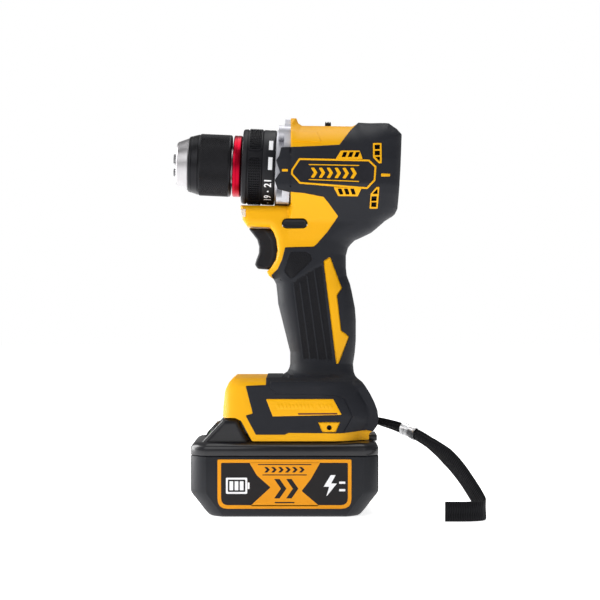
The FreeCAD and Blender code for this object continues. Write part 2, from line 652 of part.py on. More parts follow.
def rounded_path(points):
    """Straight runs joined by tangent arcs, each as large as its two runs allow."""
    corners = [V(*p) for p in points]
    edges = []
    start = corners[0]
    for before, corner, after in zip(corners, corners[1:], corners[2:]):
        back = (before - corner).normalize()
        ahead = (after - corner).normalize()
        reach = 0.45 * min((before - corner).Length, (after - corner).Length)
        turn = math.pi - back.getAngle(ahead)
        radius = reach / math.tan(turn / 2)
        enter = corner + back * reach
        leave = corner + ahead * reach
        toward = (back + ahead).normalize()
        depth = radius / math.cos(turn / 2) - radius
        print("strap turn %5.1f radius %6.1f" % (math.degrees(turn), radius))
        edges.append(Part.LineSegment(start, enter).toShape())
        edges.append(Part.Arc(enter, corner + toward * depth, leave).toShape())
        start = leave
    edges.append(Part.LineSegment(start, corners[-1]).toShape())
    return Part.Wire(edges)


path = rounded_path(STRAP_ROUTE)
first = (V(*STRAP_ROUTE[1]) - V(*STRAP_ROUTE[0])).normalize()
section = Part.Wire(Part.makeCircle(STRAP_R, V(*STRAP_ROUTE[0]), first))
strap = path.makePipeShell([section], True, False)
strap = strap.common(box(STRAP_START, 200, -80, 40, 0, 80))
print("strap length %.1f volume ratio %.3f" % (path.Length, strap.Volume / (path.Length * math.pi * STRAP_R ** 2)))
save("wrist_strap", strap)
crimp_start = V(*STRAP_ROUTE[2])
crimp_end = V(*STRAP_ROUTE[3])
along = (crimp_end - crimp_start).normalize()
crimp = Part.makeCylinder(4.9, 10.2, crimp_start + along * 0.6, along)
crimp = crimp.cut(Part.makeCylinder(3.9, 20, crimp_start - along * 4, along))
save("strap_crimp", crimp)

# ---- battery pack ------------------------------------------------------------------------
PACK_WALL = 2.5
PACK_OUTLINE = [
    (-46.5, 0), (46.5, 0), (PACK_HALF_LENGTH, 15.0), (PACK_HALF_LENGTH, PACK_SEAM),
    (-PACK_HALF_LENGTH, PACK_SEAM), (-PACK_HALF_LENGTH, 15.0),
]
plan = rounded_block(PACK_HALF_LENGTH, PACK_HALF_WIDTH, PACK_CORNER, -1, 60)
inner_half_length = PACK_HALF_LENGTH - PACK_WALL
inner_half_width = PACK_HALF_WIDTH - PACK_WALL
inner_plan = rounded_block(inner_half_length, inner_half_width, PACK_CORNER - PACK_WALL, -1, 60)
base = prism_y(PACK_OUTLINE, 40).common(plan)
base_inner = prism_y(PACK_OUTLINE, 40, PACK_WALL).common(inner_plan)
base_inner = base_inner.fuse(inner_plan.common(box(-80, 80, -50, 50, PACK_SEAM - 5, PACK_SEAM + 1)))
base = base.cut(base_inner)
pack_screws = []
for x in (-30, 30):
    for y in (-27, 27):
        base = base.fuse(rod(2.8, 0.5, 6.4, x, y))
        base = base.cut(rod(2.4, -1, 2.2, x, y)).cut(rod(1.2, 0, 8, x, y))
        one = screw(2.3, 1.8, 1.15, 6.0)
        one.rotate(V(0, 0, 0), V(1, 0, 0), 180)
        one.translate(V(x, y, 0.35))
        pack_screws.append(one)
save("battery_base", base)
save("battery_screws", Part.makeCompound(pack_screws))

SLOPE_FOOT = V(-54.4, 0, 43.1)
SLOPE_TOP = V(-38.2, 0, 60.3)
FRONT_BLOCK = [
    (-PACK_HALF_LENGTH, PACK_SEAM), (-58.0, 40.6), (SLOPE_FOOT.x, SLOPE_FOOT.z), (SLOPE_TOP.x, SLOPE_TOP.z),
    (-29.1, SLOPE_TOP.z), (-21.9, PACK_SHOULDER), (-21.9, PACK_SEAM),
]
top = rounded_block(PACK_HALF_LENGTH, PACK_HALF_WIDTH, PACK_CORNER, PACK_SEAM, PACK_SHOULDER)
top = top.makeChamfer(3.0, [e for e in top.Edges if e.BoundBox.ZMin > PACK_SHOULDER - 0.01])
front_block = prism_y(FRONT_BLOCK, 30.0)
top = top.fuse(front_block.common(rounded_block(PACK_HALF_LENGTH, 30.0, 8.0, 30, 70)))
top = top.cut(inner_plan.common(box(-52, 56, -50, 50, PACK_SEAM - 1, 43.2)))
top = top.fuse(box(-32, 50.0, -NECK_HALF_WIDTH, NECK_HALF_WIDTH, 45, NECK_TOP + 0.4))
top = top.fuse(box(-34, 50.0, -RAIL_HALF_WIDTH, RAIL_HALF_WIDTH, NECK_TOP, RAIL_TOP))
top = top.cut(box(-26.0, 25.0, -19.4, 19.4, 40, 57.0))
top = top.fuse(box(53.2, 58.2, -15.6, 15.6, 45.0, 49.2))
for y in TERMINAL_Y:
    top = top.cut(box(28.0, 51.0, y - 1.3, y + 1.3, 52.6, 62.0))
slope_way = (SLOPE_TOP - SLOPE_FOOT).normalize()


def on_slope(shape, distance, side=0.0):
    """Lay a piece built in x (up the slope), y and z (out of it) on the pack's front slope."""
    placed = shape.copy()
    placed.rotate(V(0, 0, 0), V(0, 1, 0), -math.degrees(math.atan2(slope_way.z, slope_way.x)))
    placed.translate(SLOPE_FOOT + slope_way * distance + V(0, side, 0))
    return placed


LATCH_DISTANCE = 12.0
GAUGE_DISTANCE = 15.0
GAUGE_SIDE = -21.0
latch_pocket = on_slope(box(-6.4, 6.4, -13.4, 13.4, -8.0, 4.0), LATCH_DISTANCE)
gauge_pocket = on_slope(rod(3.4, -5.0, 3.0), GAUGE_DISTANCE, GAUGE_SIDE)
top = top.cut(latch_pocket).cut(gauge_pocket)
save("battery_top", biggest(top))
save("battery_latch", on_slope(box(-6.0, 6.0, -13.0, 13.0, -4.6, 1.2), LATCH_DISTANCE))
save("gauge_button", on_slope(rod(3.0, -3.4, 0.7), GAUGE_DISTANCE, GAUGE_SIDE))

CELL_COLUMNS = (-40.0, -20.0, 0.0, 20.0, 40.0)
CELL_ROWS = (12.4, 31.4)
cells = []
holder = prism_y([(-44, 2.8), (44, 2.8), (51, 11.6), (51, 41), (-51, 41), (-51, 11.6)], 22)
holder = holder.cut(box(-60, 60, -18, 18, 0, 60))
for x in CELL_COLUMNS:
    for z in CELL_ROWS:
        can = Part.makeCylinder(CELL_R, CELL_LENGTH, V(x, -CELL_LENGTH / 2, z), V(0, 1, 0))
        cells.append(can)
        holder = holder.cut(Part.makeCylinder(CELL_R + 0.02, 80, V(x, -40, z), V(0, 1, 0)))
save("battery_cells", Part.makeCompound(cells))
save("cell_holder", holder)
save("battery_board", box(-28.0, 45.0, -16.0, 16.0, 41.4, 43.0))

LABEL_HALF_LENGTH = 41.4
LABEL_LOW = 5.4
LABEL_HIGH = 35.8
LABEL_CORNER = 6.2
LABEL_FACE = PACK_HALF_WIDTH + 0.4
label = box(-LABEL_HALF_LENGTH, LABEL_HALF_LENGTH, -LABEL_FACE, LABEL_FACE, LABEL_LOW, LABEL_HIGH)
across = [e for e in label.Edges if abs(e.tangentAt(0).y) > 0.9]
low_corners = [e for e in across if e.BoundBox.ZMax < LABEL_LOW + 0.01]
label = label.makeFillet(LABEL_CORNER, low_corners)
label = label.cut(box(-80, 80, -PACK_HALF_WIDTH, PACK_HALF_WIDTH, -5, 60))
save("battery_label", label)
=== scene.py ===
import math

import bmesh
import bpy
import numpy as np
from mathutils import Matrix, Vector
from mathutils.geometry import delaunay_2d_cdt


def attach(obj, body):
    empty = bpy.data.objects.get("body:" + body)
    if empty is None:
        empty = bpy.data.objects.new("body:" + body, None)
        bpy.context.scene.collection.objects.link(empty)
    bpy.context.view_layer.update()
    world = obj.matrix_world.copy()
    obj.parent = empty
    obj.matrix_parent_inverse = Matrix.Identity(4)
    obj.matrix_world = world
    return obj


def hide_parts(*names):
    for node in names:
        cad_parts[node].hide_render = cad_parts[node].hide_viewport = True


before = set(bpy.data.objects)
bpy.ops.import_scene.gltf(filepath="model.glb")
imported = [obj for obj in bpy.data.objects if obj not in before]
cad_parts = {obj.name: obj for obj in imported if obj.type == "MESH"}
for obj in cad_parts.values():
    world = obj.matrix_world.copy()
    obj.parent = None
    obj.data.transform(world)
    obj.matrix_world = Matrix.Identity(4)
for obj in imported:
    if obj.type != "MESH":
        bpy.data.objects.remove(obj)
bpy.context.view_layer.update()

# ---- Camera, table and studio light -------------------------------------------------------
# The drill is seen square on from its left, a little above the handle's middle, on a pale table.
# Two large soft boxes stand in front, one behind on the left draws a pale line down the grip, and
# one hangs above.
VIEW_DISTANCE = 1.1
VIEW_WIDTH = 0.384
camera_data = bpy.data.cameras.new("camera")
camera_data.sensor_width = 36.0
camera_data.lens = camera_data.sensor_width * VIEW_DISTANCE / VIEW_WIDTH
camera_data.clip_start = 0.01
camera = bpy.data.objects.new("camera", camera_data)
camera.location = (0.0096, -VIEW_DISTANCE, 0.1344)
camera.rotation_euler = (math.pi / 2, 0.0, 0.0)
bpy.context.collection.objects.link(camera)
bpy.context.scene.camera = camera
bpy.context.scene.view_settings.view_transform = "Standard"


def soft_box(name, place, target, width, height, power):
    light = bpy.data.lights.new(name, "AREA")
    light.shape = "RECTANGLE"
    light.size = width
    light.size_y = height
    light.energy = power
    lamp = bpy.data.objects.new(name, light)
    lamp.location = place
    lamp.rotation_euler = (Vector(target) - Vector(place)).to_track_quat("-Z", "Y").to_euler()
    bpy.context.collection.objects.link(lamp)


soft_box("key_light", (-0.75, -0.95, 0.85), (0.0, 0.0, 0.13), 0.9, 0.9, 6.0)
soft_box("fill_light", (0.95, -0.9, 0.5), (0.0, 0.0, 0.12), 0.8, 0.8, 1.4)
soft_box("edge_light", (-0.9, 0.4, 0.35), (0.0, 0.0, 0.13), 0.5, 0.9, 13.0)
soft_box("top_light", (0.1, 0.1, 1.2), (0.0, 0.0, 0.1), 1.0, 1.0, 8.5)
studio = bpy.data.worlds.new("studio")
studio.use_nodes = True
backdrop = studio.node_tree.nodes["Background"]
backdrop.inputs["Color"].default_value = (1.0, 1.0, 1.0, 1.0)
seen = studio.node_tree.nodes.new("ShaderNodeLightPath")
strength = studio.node_tree.nodes.new("ShaderNodeMapRange")
strength.inputs["To Min"].default_value = 0.24      # what the room gives to the drill
strength.inputs["To Max"].default_value = 1.0       # the white wall behind it
studio.node_tree.links.new(seen.outputs["Is Camera Ray"], strength.inputs["Value"])
studio.node_tree.links.new(strength.outputs["Result"], backdrop.inputs["Strength"])
bpy.context.scene.world = studio


class Wire:
    """A shader socket that takes part in Python expressions; each operation adds one Math node."""

    def __init__(self, look, socket):
        self.look = look
        self.socket = socket

    def __add__(self, other):
        return self.look.math("ADD", self, other)

    def __sub__(self, other):
        return self.look.math("SUBTRACT", self, other)

    def __mul__(self, other):
        return self.look.math("MULTIPLY", self, other)


class Look:
    """One material, built from expressions. Constant sockets are given by name when it is made."""

    def __init__(self, name, **constants):
        self.material = bpy.data.materials.new(name)
        self.material.use_nodes = True
        self.tree = self.material.node_tree
        self.shader = self.tree.nodes["Principled BSDF"]
        for socket, value in constants.items():
            self.shader.inputs[socket.replace("_", " ")].default_value = value

    def feed(self, socket, value):
        if isinstance(value, Wire):
            self.tree.links.new(value.socket, socket)
        elif value is not None:
            socket.default_value = value

    def node(self, kind, settings=(), **sockets):
        made = self.tree.nodes.new(kind)
        for setting, value in dict(settings).items():
            setattr(made, setting, value)
        for socket, value in sockets.items():
            name = int(socket[1:]) if socket[1:].isdigit() else socket.replace("_", " ")
            self.feed(made.inputs[name], value)
        return Wire(self, made.outputs[0])

    def math(self, operation, *values):
        sockets = {"n%d" % i: value for i, value in enumerate(values)}
        return self.node("ShaderNodeMath", settings={"operation": operation}, **sockets)

    def place(self, squeeze=(1.0, 1.0, 1.0)):
        """Where a point is on the drill, in metres, squeezed along an axis for a drawn-out grain."""
        where = Wire(self, self.tree.nodes.new("ShaderNodeTexCoord").outputs["Object"])
        return self.node("ShaderNodeMapping", Vector=where, Scale=squeeze)

    def axes(self, where):
        split = self.tree.nodes.new("ShaderNodeSeparateXYZ")
        self.feed(split.inputs[0], where)
        return [Wire(self, output) for output in split.outputs]

    def noise(self, where, scale, detail=2.0, roughness=0.5):
        return self.node("ShaderNodeTexNoise", Vector=where, Scale=scale, Detail=detail,
                         Roughness=roughness)

    def ease(self, value, low, high):
        """0 below low, 1 above high, smooth between."""
        return self.node("ShaderNodeMapRange", settings={"interpolation_type": "SMOOTHSTEP"},
                         n0=value, n1=low, n2=high, n3=0.0, n4=1.0)

    def mix(self, factor, first, second):
        made = self.tree.nodes.new("ShaderNodeMix")
        made.data_type = "RGBA"
        self.feed(made.inputs[0], factor)
        self.feed(made.inputs[6], first)
        self.feed(made.inputs[7], second)
        return Wire(self, made.outputs[2])

    def finish(self, colour, roughness=None, height=None, depth=0.0002):
        """Feed the sockets that vary over the surface; depth is the bump's full height in metres."""
        self.feed(self.shader.inputs["Base Color"], colour)
        self.feed(self.shader.inputs["Roughness"], roughness)
        if height is not None:
            bump = self.node("ShaderNodeBump", Height=height, Distance=depth, Strength=1.0)
            self.feed(self.shader.inputs["Normal"], bump)
        return self.material


def plastic(name, dark, light, rough, vary=0.15, scale=160.0, grain=None, depth=0.00008, **constants):
    """Nylon, rubber or film, cloudy in colour and gloss. Its bump comes from a finer grain if one is
    given, else from the cloud, and a film has none."""
    look = Look(name, **constants)
    where = look.place()
    cloud = look.noise(where, scale, 3.0)
    height = look.noise(where, grain) if grain else cloud
    return look.finish(look.mix(cloud, dark, light), cloud * vary + rough,
                       height=height if depth else None, depth=depth)


table_look = Look("pale_table", Roughness=0.6, Emission_Color=(1.0, 1.0, 1.0, 1.0), Emission_Strength=0.78)
table_spot = table_look.place()
table_tint = table_look.mix(table_look.noise(table_spot, 3.0), (0.93, 0.93, 0.94, 1), (0.97, 0.97, 0.97, 1))
table_material = table_look.finish(table_tint)
table_mesh = bpy.data.meshes.new("table")
reach = 4.0
table_mesh.from_pydata([(-reach, -reach, 0), (reach, -reach, 0), (reach, reach, 0), (-reach, reach, 0)], [],
                       [(0, 1, 2, 3)])
table_mesh.materials.append(table_material)
table = bpy.data.objects.new("table", table_mesh)
bpy.context.collection.objects.link(table)

# ---- Wrist strap --------------------------------------------------------------------------
# A loop of black polyester webbing, doubled flat. Both ends go through a hole at the back of the
# foot, and a rolled metal sleeve holds the two layers together just outside it. It rests on the table.
MM = 0.001
STRAP_WIDTH = 12.0 * MM
STRAP_THICK = 2.4 * MM
STRAP_ROUTE = [
    (58.4, 0, 57.3), (65.5, -1.5, 55.6), (74.0, -4.5, 53.0), (84.5, -9.5, 48.8),
    (94.4, -16, 42.5), (103.5, -23, 35), (110.5, -30, 26.5), (116.0, -37, 17.8), (120.3, -43, 10.5),
    (122.6, -48.6, 6.4), (120.8, -54.6, 6.2), (114.6, -58.0, 6.2), (106.5, -59.0, 6.2),
    (97.5, -58.6, 6.2),
]


def smooth_line(route):
    """The points of a smooth spline led by a route in millimetres, evenly read, in metres."""
    curve = bpy.data.curves.new("route", "CURVE")
    curve.dimensions = "3D"
    curve.resolution_u = 12
    spline = curve.splines.new("NURBS")
    spline.points.add(len(route) - 1)
    for point, place in zip(spline.points, route):
        point.co = (place[0] * MM, place[1] * MM, place[2] * MM, 1.0)
    spline.order_u = 3
    spline.use_endpoint_u = True
    holder = bpy.data.objects.new("route", curve)
    bpy.context.collection.objects.link(holder)
    mesh = bpy.data.meshes.new_from_object(holder.evaluated_get(bpy.context.evaluated_depsgraph_get()))
    points = np.array([v.co for v in mesh.vertices])
    bpy.data.objects.remove(holder)
    return points


def make_object(name, vertices, faces, materials, smooth_angle=35.0):
    """A mesh object whose place is in its mesh. Edges sharper than the angle stay crisp."""
    mesh = bpy.data.meshes.new(name)
    mesh.from_pydata([tuple(map(float, v)) for v in vertices], [], [tuple(map(int, f)) for f in faces])
    for material in materials:
        mesh.materials.append(material)
    mesh.polygons.foreach_set("use_smooth", np.ones(len(mesh.polygons), bool))
    mesh.set_sharp_from_angle(angle=math.radians(smooth_angle))
    mesh.update()
    made = bpy.data.objects.new(name, mesh)
    bpy.context.collection.objects.link(made)
    return made


def ring_faces(rings, count, joined=False):
    """Faces between neighbouring rings of count points; flat ends unless the last joins the first."""
    faces = []
    for i in range(rings if joined else rings - 1):
        near, far = i * count, (i + 1) % rings * count
        for k in range(count):
            nxt = (k + 1) % count
            faces.append((near + k, near + nxt, far + nxt, far + k))
    if not joined:
        faces.append(tuple(reversed(range(count))))
        faces.append(tuple(range((rings - 1) * count, rings * count)))
    return faces


def place_piece(piece, body, slot, *nodes):
    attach(piece, body)
    if nodes:
        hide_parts(*nodes)


strap_line = smooth_line(STRAP_ROUTE)
strap_steps = np.linalg.norm(np.diff(strap_line, axis=0), axis=1)
strap_run = np.concatenate([[0], np.cumsum(strap_steps)])
strap_length = strap_run[-1]


def strap_frames():
    """At each step of the line: its direction, the band's flat side and the band's edge side."""
    frames = []
    for i, run in enumerate(strap_run):
        before = strap_line[max(i - 1, 0)]
        after = strap_line[min(i + 1, len(strap_line) - 1)]
        along = (after - before) / np.linalg.norm(after - before)
        share = run / strap_length
        upright = np.array([0.0, 0.0, 1.0])
        flat_side = np.cross(along, upright)
        flat_side /= np.linalg.norm(flat_side)
        edge_side = np.cross(flat_side, along)
        lean = np.interp(share, [0, 0.12, 0.32, 0.5, 0.75, 1.0],
                         [0.9, 0.55, 0.25, 0.12, 0.03, 0.0]) * math.pi / 2
        across = edge_side * math.cos(lean) + flat_side * math.sin(lean)
        frames.append((along, across, np.cross(along, across)))
    return frames


def strap_band():
    """The doubled band: two layers with a fine step between them and round selvedges."""
    rows = []
    half_profile = [(0.0, 1.0), (0.86, 1.0), (0.97, 0.82), (1.0, 0.5), (0.96, 0.16), (0.86, 0.04)]
    profile = half_profile + [(x, -y) for x, y in reversed(half_profile)]
    profile = profile + [(-x, y) for x, y in reversed(profile[1:-1])]
    for place, run, (_, across, up) in zip(strap_line, strap_run, strap_frames()):
        spread = np.interp(run / strap_length, [0, 0.05, 0.13, 0.30, 0.42, 1.0],
                           [0.5, 0.42, 0.62, 0.6, 1.0, 1.0])
        width = STRAP_WIDTH * spread
        thick = STRAP_THICK * np.interp(spread, [0.42, 1.0], [1.9, 1.0])
        rows.append([place + across * (x * width / 2) + up * (y * thick / 2) for x, y in profile])
    count = len(profile)
    vertices = [point for row in rows for point in row]
    return vertices, ring_faces(len(rows), count), count


strap_vertices, strap_faces, strap_count = strap_band()
webbing = Look("black_webbing", Roughness=0.85, Specular_IOR_Level=0.15)
webbing.shader.inputs["Sheen Weight"].default_value = 0.06
webbing.shader.inputs["Sheen Roughness"].default_value = 0.4
weave_uv = webbing.axes(webbing.node("ShaderNodeUVMap", settings={"uv_map": "weave"}))
THREADS_PER_METRE = 1400.0
warp = webbing.math("SINE", weave_uv[0] * (THREADS_PER_METRE * 2 * math.pi))
weft = webbing.math("SINE", weave_uv[1] * (THREADS_PER_METRE * math.pi) + warp * 0.9)
weave = warp * 0.35 + weft * 0.65
fuzz = webbing.noise(webbing.place(), 900.0, 3.0)
webbing_tint = webbing.mix(webbing.ease(weave + fuzz * 0.5, -0.8, 1.2), (0.002, 0.002, 0.003, 1),
                           (0.010, 0.010, 0.012, 1))
webbing_material = webbing.finish(webbing_tint, webbing.ease(fuzz, 0.2, 0.8) * 0.15 + 0.75, height=weave,
                                  depth=0.00025)
strap = make_object("wrist_strap_band", strap_vertices, strap_faces, [webbing_material], 50.0)
weave_layer = strap.data.uv_layers.new(name="weave")
for loop in strap.data.loops:
    row = loop.vertex_index // strap_count
    across = (loop.vertex_index % strap_count) * STRAP_WIDTH / strap_count
    weave_layer.data[loop.index].uv = (across, strap_run[row])
place_piece(strap, "drill_body", "webbing", "wrist_strap")

# The rolled metal sleeve that holds the two layers: a flat oval tube of bright aluminium, pressed on.
CRIMP_START = 17.4 * MM
CRIMP_LENGTH = 10.0 * MM
CRIMP_HALF = (5.0 * MM, 2.9 * MM)
CRIMP_WALL = 0.7 * MM
CRIMP_AROUND = 40


def crimp_mesh():
    frames = strap_frames()
    rings = []
    steps = 10
    outward = [(run, 0.0) for run in np.linspace(0, CRIMP_LENGTH, steps)]
    inward = [(run, -CRIMP_WALL) for run in np.linspace(CRIMP_LENGTH, 0, steps)]
    for run, shrink in outward + inward:
        share = run / CRIMP_LENGTH
        flare = 0.35 * MM * (abs(share - 0.5) * 2) ** 6
        waist = -0.35 * MM * math.exp(-((share - 0.5) / 0.14) ** 2)
        at = CRIMP_START + run
        index = int(np.clip(np.searchsorted(strap_run, at), 1, len(strap_run) - 1))
        mix = (at - strap_run[index - 1]) / (strap_run[index] - strap_run[index - 1])
        centre = strap_line[index - 1] * (1 - mix) + strap_line[index] * mix
        _, across, up = frames[index]
        wide = CRIMP_HALF[0] + shrink + flare + waist
        tall = CRIMP_HALF[1] + shrink + flare + waist
        turn = [2 * math.pi * k / CRIMP_AROUND for k in range(CRIMP_AROUND)]
        rings.append([centre + across * wide * math.copysign(abs(math.cos(a)) ** 0.7, math.cos(a))
                      + up * tall * math.copysign(abs(math.sin(a)) ** 0.7, math.sin(a)) for a in turn])
    vertices = [point for one in rings for point in one]
    return vertices, ring_faces(len(rings), CRIMP_AROUND, joined=True)


crimp_look = Look("crimp_aluminium", Metallic=1.0)
crimp_wear = crimp_look.noise(crimp_look.place((1.0, 6.0, 1.0)), 500.0, 4.0)
crimp_tint = crimp_look.mix(crimp_wear, (0.62, 0.62, 0.63, 1), (0.86, 0.86, 0.87, 1))
crimp_material = crimp_look.finish(crimp_tint, crimp_wear * 0.2 + 0.22, height=crimp_wear, depth=0.00008)
crimp = make_object("strap_crimp_sleeve", *crimp_mesh(), [crimp_material], 30.0)
place_piece(crimp, "drill_body", "crimp_metal", "strap_crimp")

# ---- Case: yellow nylon clamshell ---------------------------------------------------------
# Two mirrored halves of satin yellow nylon meet on the centre plane and carry everything inside.
# The yellow shows on the roof, round the trigger, on the front of the foot and in a strip of the grip.
SHELL_WALL = 2.5
HEAD_TILT = math.radians(2.5)         # the head's axis leans down towards the back
HEAD_HEIGHT = 218.6                   # and crosses this height over the origin
MOTOR_BORE = 24.4                     # the radius kept free round the motor and the gear case
CASE_EDGE = [                # side view, x and z in mm: roof, back, grip, foot, front of grip
    (3.8, 244.9), (3.8, 250.0), (7.3, 250.0), (8.6, 246.6), (11.0, 245.0), (42.9, 244.6), (46.7, 246.6),
    (65.3, 245.4), (70.4, 241.9), (73.3, 238.7), (73.0, 230.4), (72.3, 216.3), (71.0, 195.8), (70.7, 192.0),
    (69.1, 188.8), (64.0, 185.6), (58.2, 180.5), (55.0, 177.9), (49.9, 175.4), (44.2, 172.8), (41.6, 170.2),
    (39.7, 167.7), (38.4, 162.6), (38.4, 154.9), (39.0, 149.8), (41.0, 144.6), (42.2, 139.5), (44.2, 129.3),
    (44.8, 121.6), (44.8, 108.8), (44.2, 101.1), (43.0, 93.4), (43.5, 88.3), (44.5, 85.8),
]
FOOT_REAR = [
    (46.7, 83.2), (49.9, 80.6), (53.1, 75.5), (55.7, 70.4), (57.6, 65.3), (58.2, 60.2),
    (57.6, 56.3), (55.0, 52.5), (52.8, 50.6), (52.8, 46.8),
]
FOOT_FRONT = [
    (-20.1, 46.8), (-26.9, 59.4), (-30.6, 61.2), (-38.7, 60.8), (-38.4, 67.8), (-37.1, 78.1), (-34.6, 83.2),
    (-31.5, 85.8), (-11.5, 85.8),
]
GRIP_FRONT = [
    (-1.9, 85.8), (1.9, 88.3), (3.2, 90.9), (3.8, 93.4), (3.8, 101.1), (1.9, 108.8), (0.0, 116.5),
    (-1.9, 124.2), (-3.8, 131.8), (-4.5, 139.5), (-5.1, 144.6), (-6.4, 147.2),
]
GUARD = [
    (-10.2, 149.8), (-11.5, 152.3), (-8.7, 155.0), (-5.6, 160.0), (-4.6, 166.0), (-5.4, 172.5),
    (-7.2, 177.4), (-9.4, 180.3), (-23.9, 181.1), (-26.6, 185.0), (-28.2, 194.4), (3.8, 194.0),
]
HEAD_FRONT = [(3.8, 194.0), (3.8, 244.9)]
TONGUE_EDGE = [
    (2.1, 201.9), (-4.4, 203.4), (-6.2, 209.0), (-2.8, 214.0), (-5.3, 221.5), (-3.5, 224.0), (-2.2, 229.6),
]
MID_SEAM = [                 # black above and behind, yellow below and in front
    (-8.7, 149.9), (-4.5, 154.0), (-1.7, 160.0), (-0.4, 165.2), (0.2, 167.6), (18.3, 168.1), (20.0, 169.6),
    (26.6, 177.0), (33.5, 187.0), (27.6, 194.8), (24.3, 198.7), (12.1, 201.0),
]
ROOF_SEAM = [(10.2, 230.0), (22.0, 230.5), (34.2, 231.2), (42.1, 242.0)]
FOOT_SEAM = [
    (51.1, 53.0), (34.8, 51.6), (2.5, 51.9), (0.2, 50.8), (-17.8, 50.8), (-24.2, 62.8), (-19.7, 64.0),
    (-24.2, 81.2), (-11.5, 81.7),
]
GRIP_STRIP = [
    (28.6, 161.8), (24.4, 158.9), (32.4, 94.0), (34.0, 94.3), (40.8, 111.3), (35.6, 115.2), (33.0, 137.4),
    (36.2, 141.8),
]
HOOK_PLATE = [(20.5, 58.7), (34.8, 58.7), (31.8, 52.3), (23.5, 52.3)]
BUTTON_SLOT = (-1.9, 14.4, 179.4, 185.8)


def loop_distance(points, loop, closed=True):
    """Each point's distance to a line; positive inside a closed one."""
    best = np.full(len(points), 1e9)
    inside = np.zeros(len(points), bool)
    ends = np.roll(loop, -1, axis=0) if closed else loop[1:]
    for start, end in zip(loop, ends):
        edge = end - start
        share = np.clip((points - start) @ edge / max(edge @ edge, 1e-12), 0, 1)
        gap = points - start - share[:, None] * edge
        best = np.minimum(best, np.hypot(gap[:, 0], gap[:, 1]))
        if closed and start[1] != end[1]:
            spans = (start[1] > points[:, 1]) != (end[1] > points[:, 1])
            cross = start[0] + (points[:, 1] - start[1]) / (end[1] - start[1]) * edge[0]
            inside ^= spans & (points[:, 0] < cross)
    return np.where(inside, best, -best) if closed else best


def rounded(loop, radius):
    """A closed loop, counter-clockwise, with each corner turned into a short arc."""
    loop = np.array(loop, float)
    area = np.sum(loop[:, 0] * np.roll(loop[:, 1], -1) - np.roll(loop[:, 0], -1) * loop[:, 1])
    if area < 0:
        loop = loop[::-1]
    made = []
    for before, corner, after in zip(np.roll(loop, 1, axis=0), loop, np.roll(loop, -1, axis=0)):
        back, ahead = before - corner, after - corner
        near, far = np.linalg.norm(back), np.linalg.norm(ahead)
        cosine = np.clip(back @ ahead / (near * far), -1, 1)
        half = math.acos(cosine) / 2
        reach = min(radius / max(math.tan(half), 1e-3), 0.45 * near, 0.45 * far)
        for share in (0.0, 0.25, 0.5, 0.75, 1.0):
            enter, leave = corner + back / near * reach, corner + ahead / far * reach
            made.append(enter * (1 - share) ** 2 + corner * 2 * share * (1 - share) + leave * share ** 2)
    return np.array(made)


def spaced(loop, step):
    points = []
    for start, end in zip(loop, np.roll(loop, -1, axis=0)):
        count = max(1, int(math.ceil(np.linalg.norm(end - start) / step)))
        points += [start + (end - start) * i / count for i in range(count)]
    return np.array(points)


def beside(loop, distance):
    """The points of a counter-clockwise loop moved to its inside by a distance."""
    ahead, back = np.roll(loop, -1, axis=0), np.roll(loop, 1, axis=0)
    along = ahead - back
    along /= np.maximum(np.linalg.norm(along, axis=1), 1e-9)[:, None]
    moved = loop + np.stack([-along[:, 1], along[:, 0]], axis=1) * distance
    room = loop_distance(moved, loop)
    return moved[np.abs(room - distance) < 0.12 * abs(distance) + 0.01]


def shrunk(loop, distance):
    """A whole loop moved inwards (or outwards, if negative), corners kept."""
    loop = np.array(loop, float)
    area = np.sum(loop[:, 0] * np.roll(loop[:, 1], -1) - np.roll(loop[:, 0], -1) * loop[:, 1])
    turn = 1.0 if area > 0 else -1.0
    made = []
    for before, corner, after in zip(np.roll(loop, 1, axis=0), loop, np.roll(loop, -1, axis=0)):
        first = (corner - before) / max(np.linalg.norm(corner - before), 1e-9)
        second = (after - corner) / max(np.linalg.norm(after - corner), 1e-9)
        normal = np.array([-first[1] - second[1], first[0] + second[0]]) * turn
        size = normal @ normal
        made.append(corner + normal * (2 * distance / max(size, 0.6)))
    return np.array(made)


def fall(distance, radius):
    """How far a quarter-round edge has dropped at a distance from it."""
    short = np.clip(radius - distance, 0, radius)
    return radius - np.sqrt(np.maximum(radius ** 2 - short ** 2, 0))


def smooth_step(value):
    value = np.clip(value, 0, 1)
    return value * value * (3 - 2 * value)


ROUND_EDGE = np.array(CASE_EDGE[1:], float)
GRIP_EDGE = np.array(GRIP_FRONT, float)
SHROUD_EDGE = np.array(GUARD, float)
FRONT_EDGE = np.array(HEAD_FRONT, float)
WHOLE_EDGE = np.array(CASE_EDGE + FOOT_REAR + FOOT_FRONT + GRIP_FRONT + GUARD, float)
SIDE_HEIGHTS = [84, 86, 87.5, 90, 94, 100, 126, 150, 172, 184, 194, 201, 206.5, 222.5, 231, 250]
SIDE_WIDTHS = [24, 23, 20.6, 18.8, 17.6, 17.3, 18, 18.3, 17.6, 18.6, 24.5, 28.9, 31, 31, 29.3, 28.6]
ROUND_HEIGHTS = [86, 172, 188, 206, 225, 250]
ROUND_RADII = [17, 15, 9, 11, 13, 23]
SHROUD_WIDTH = 17.5
FOOT_WIDTH = 34.0
FOOT_TOP = 86.0
ROOF_START = 225                      # above it the long roof edge is rounded more than the back
BACK_RADIUS = 13.0


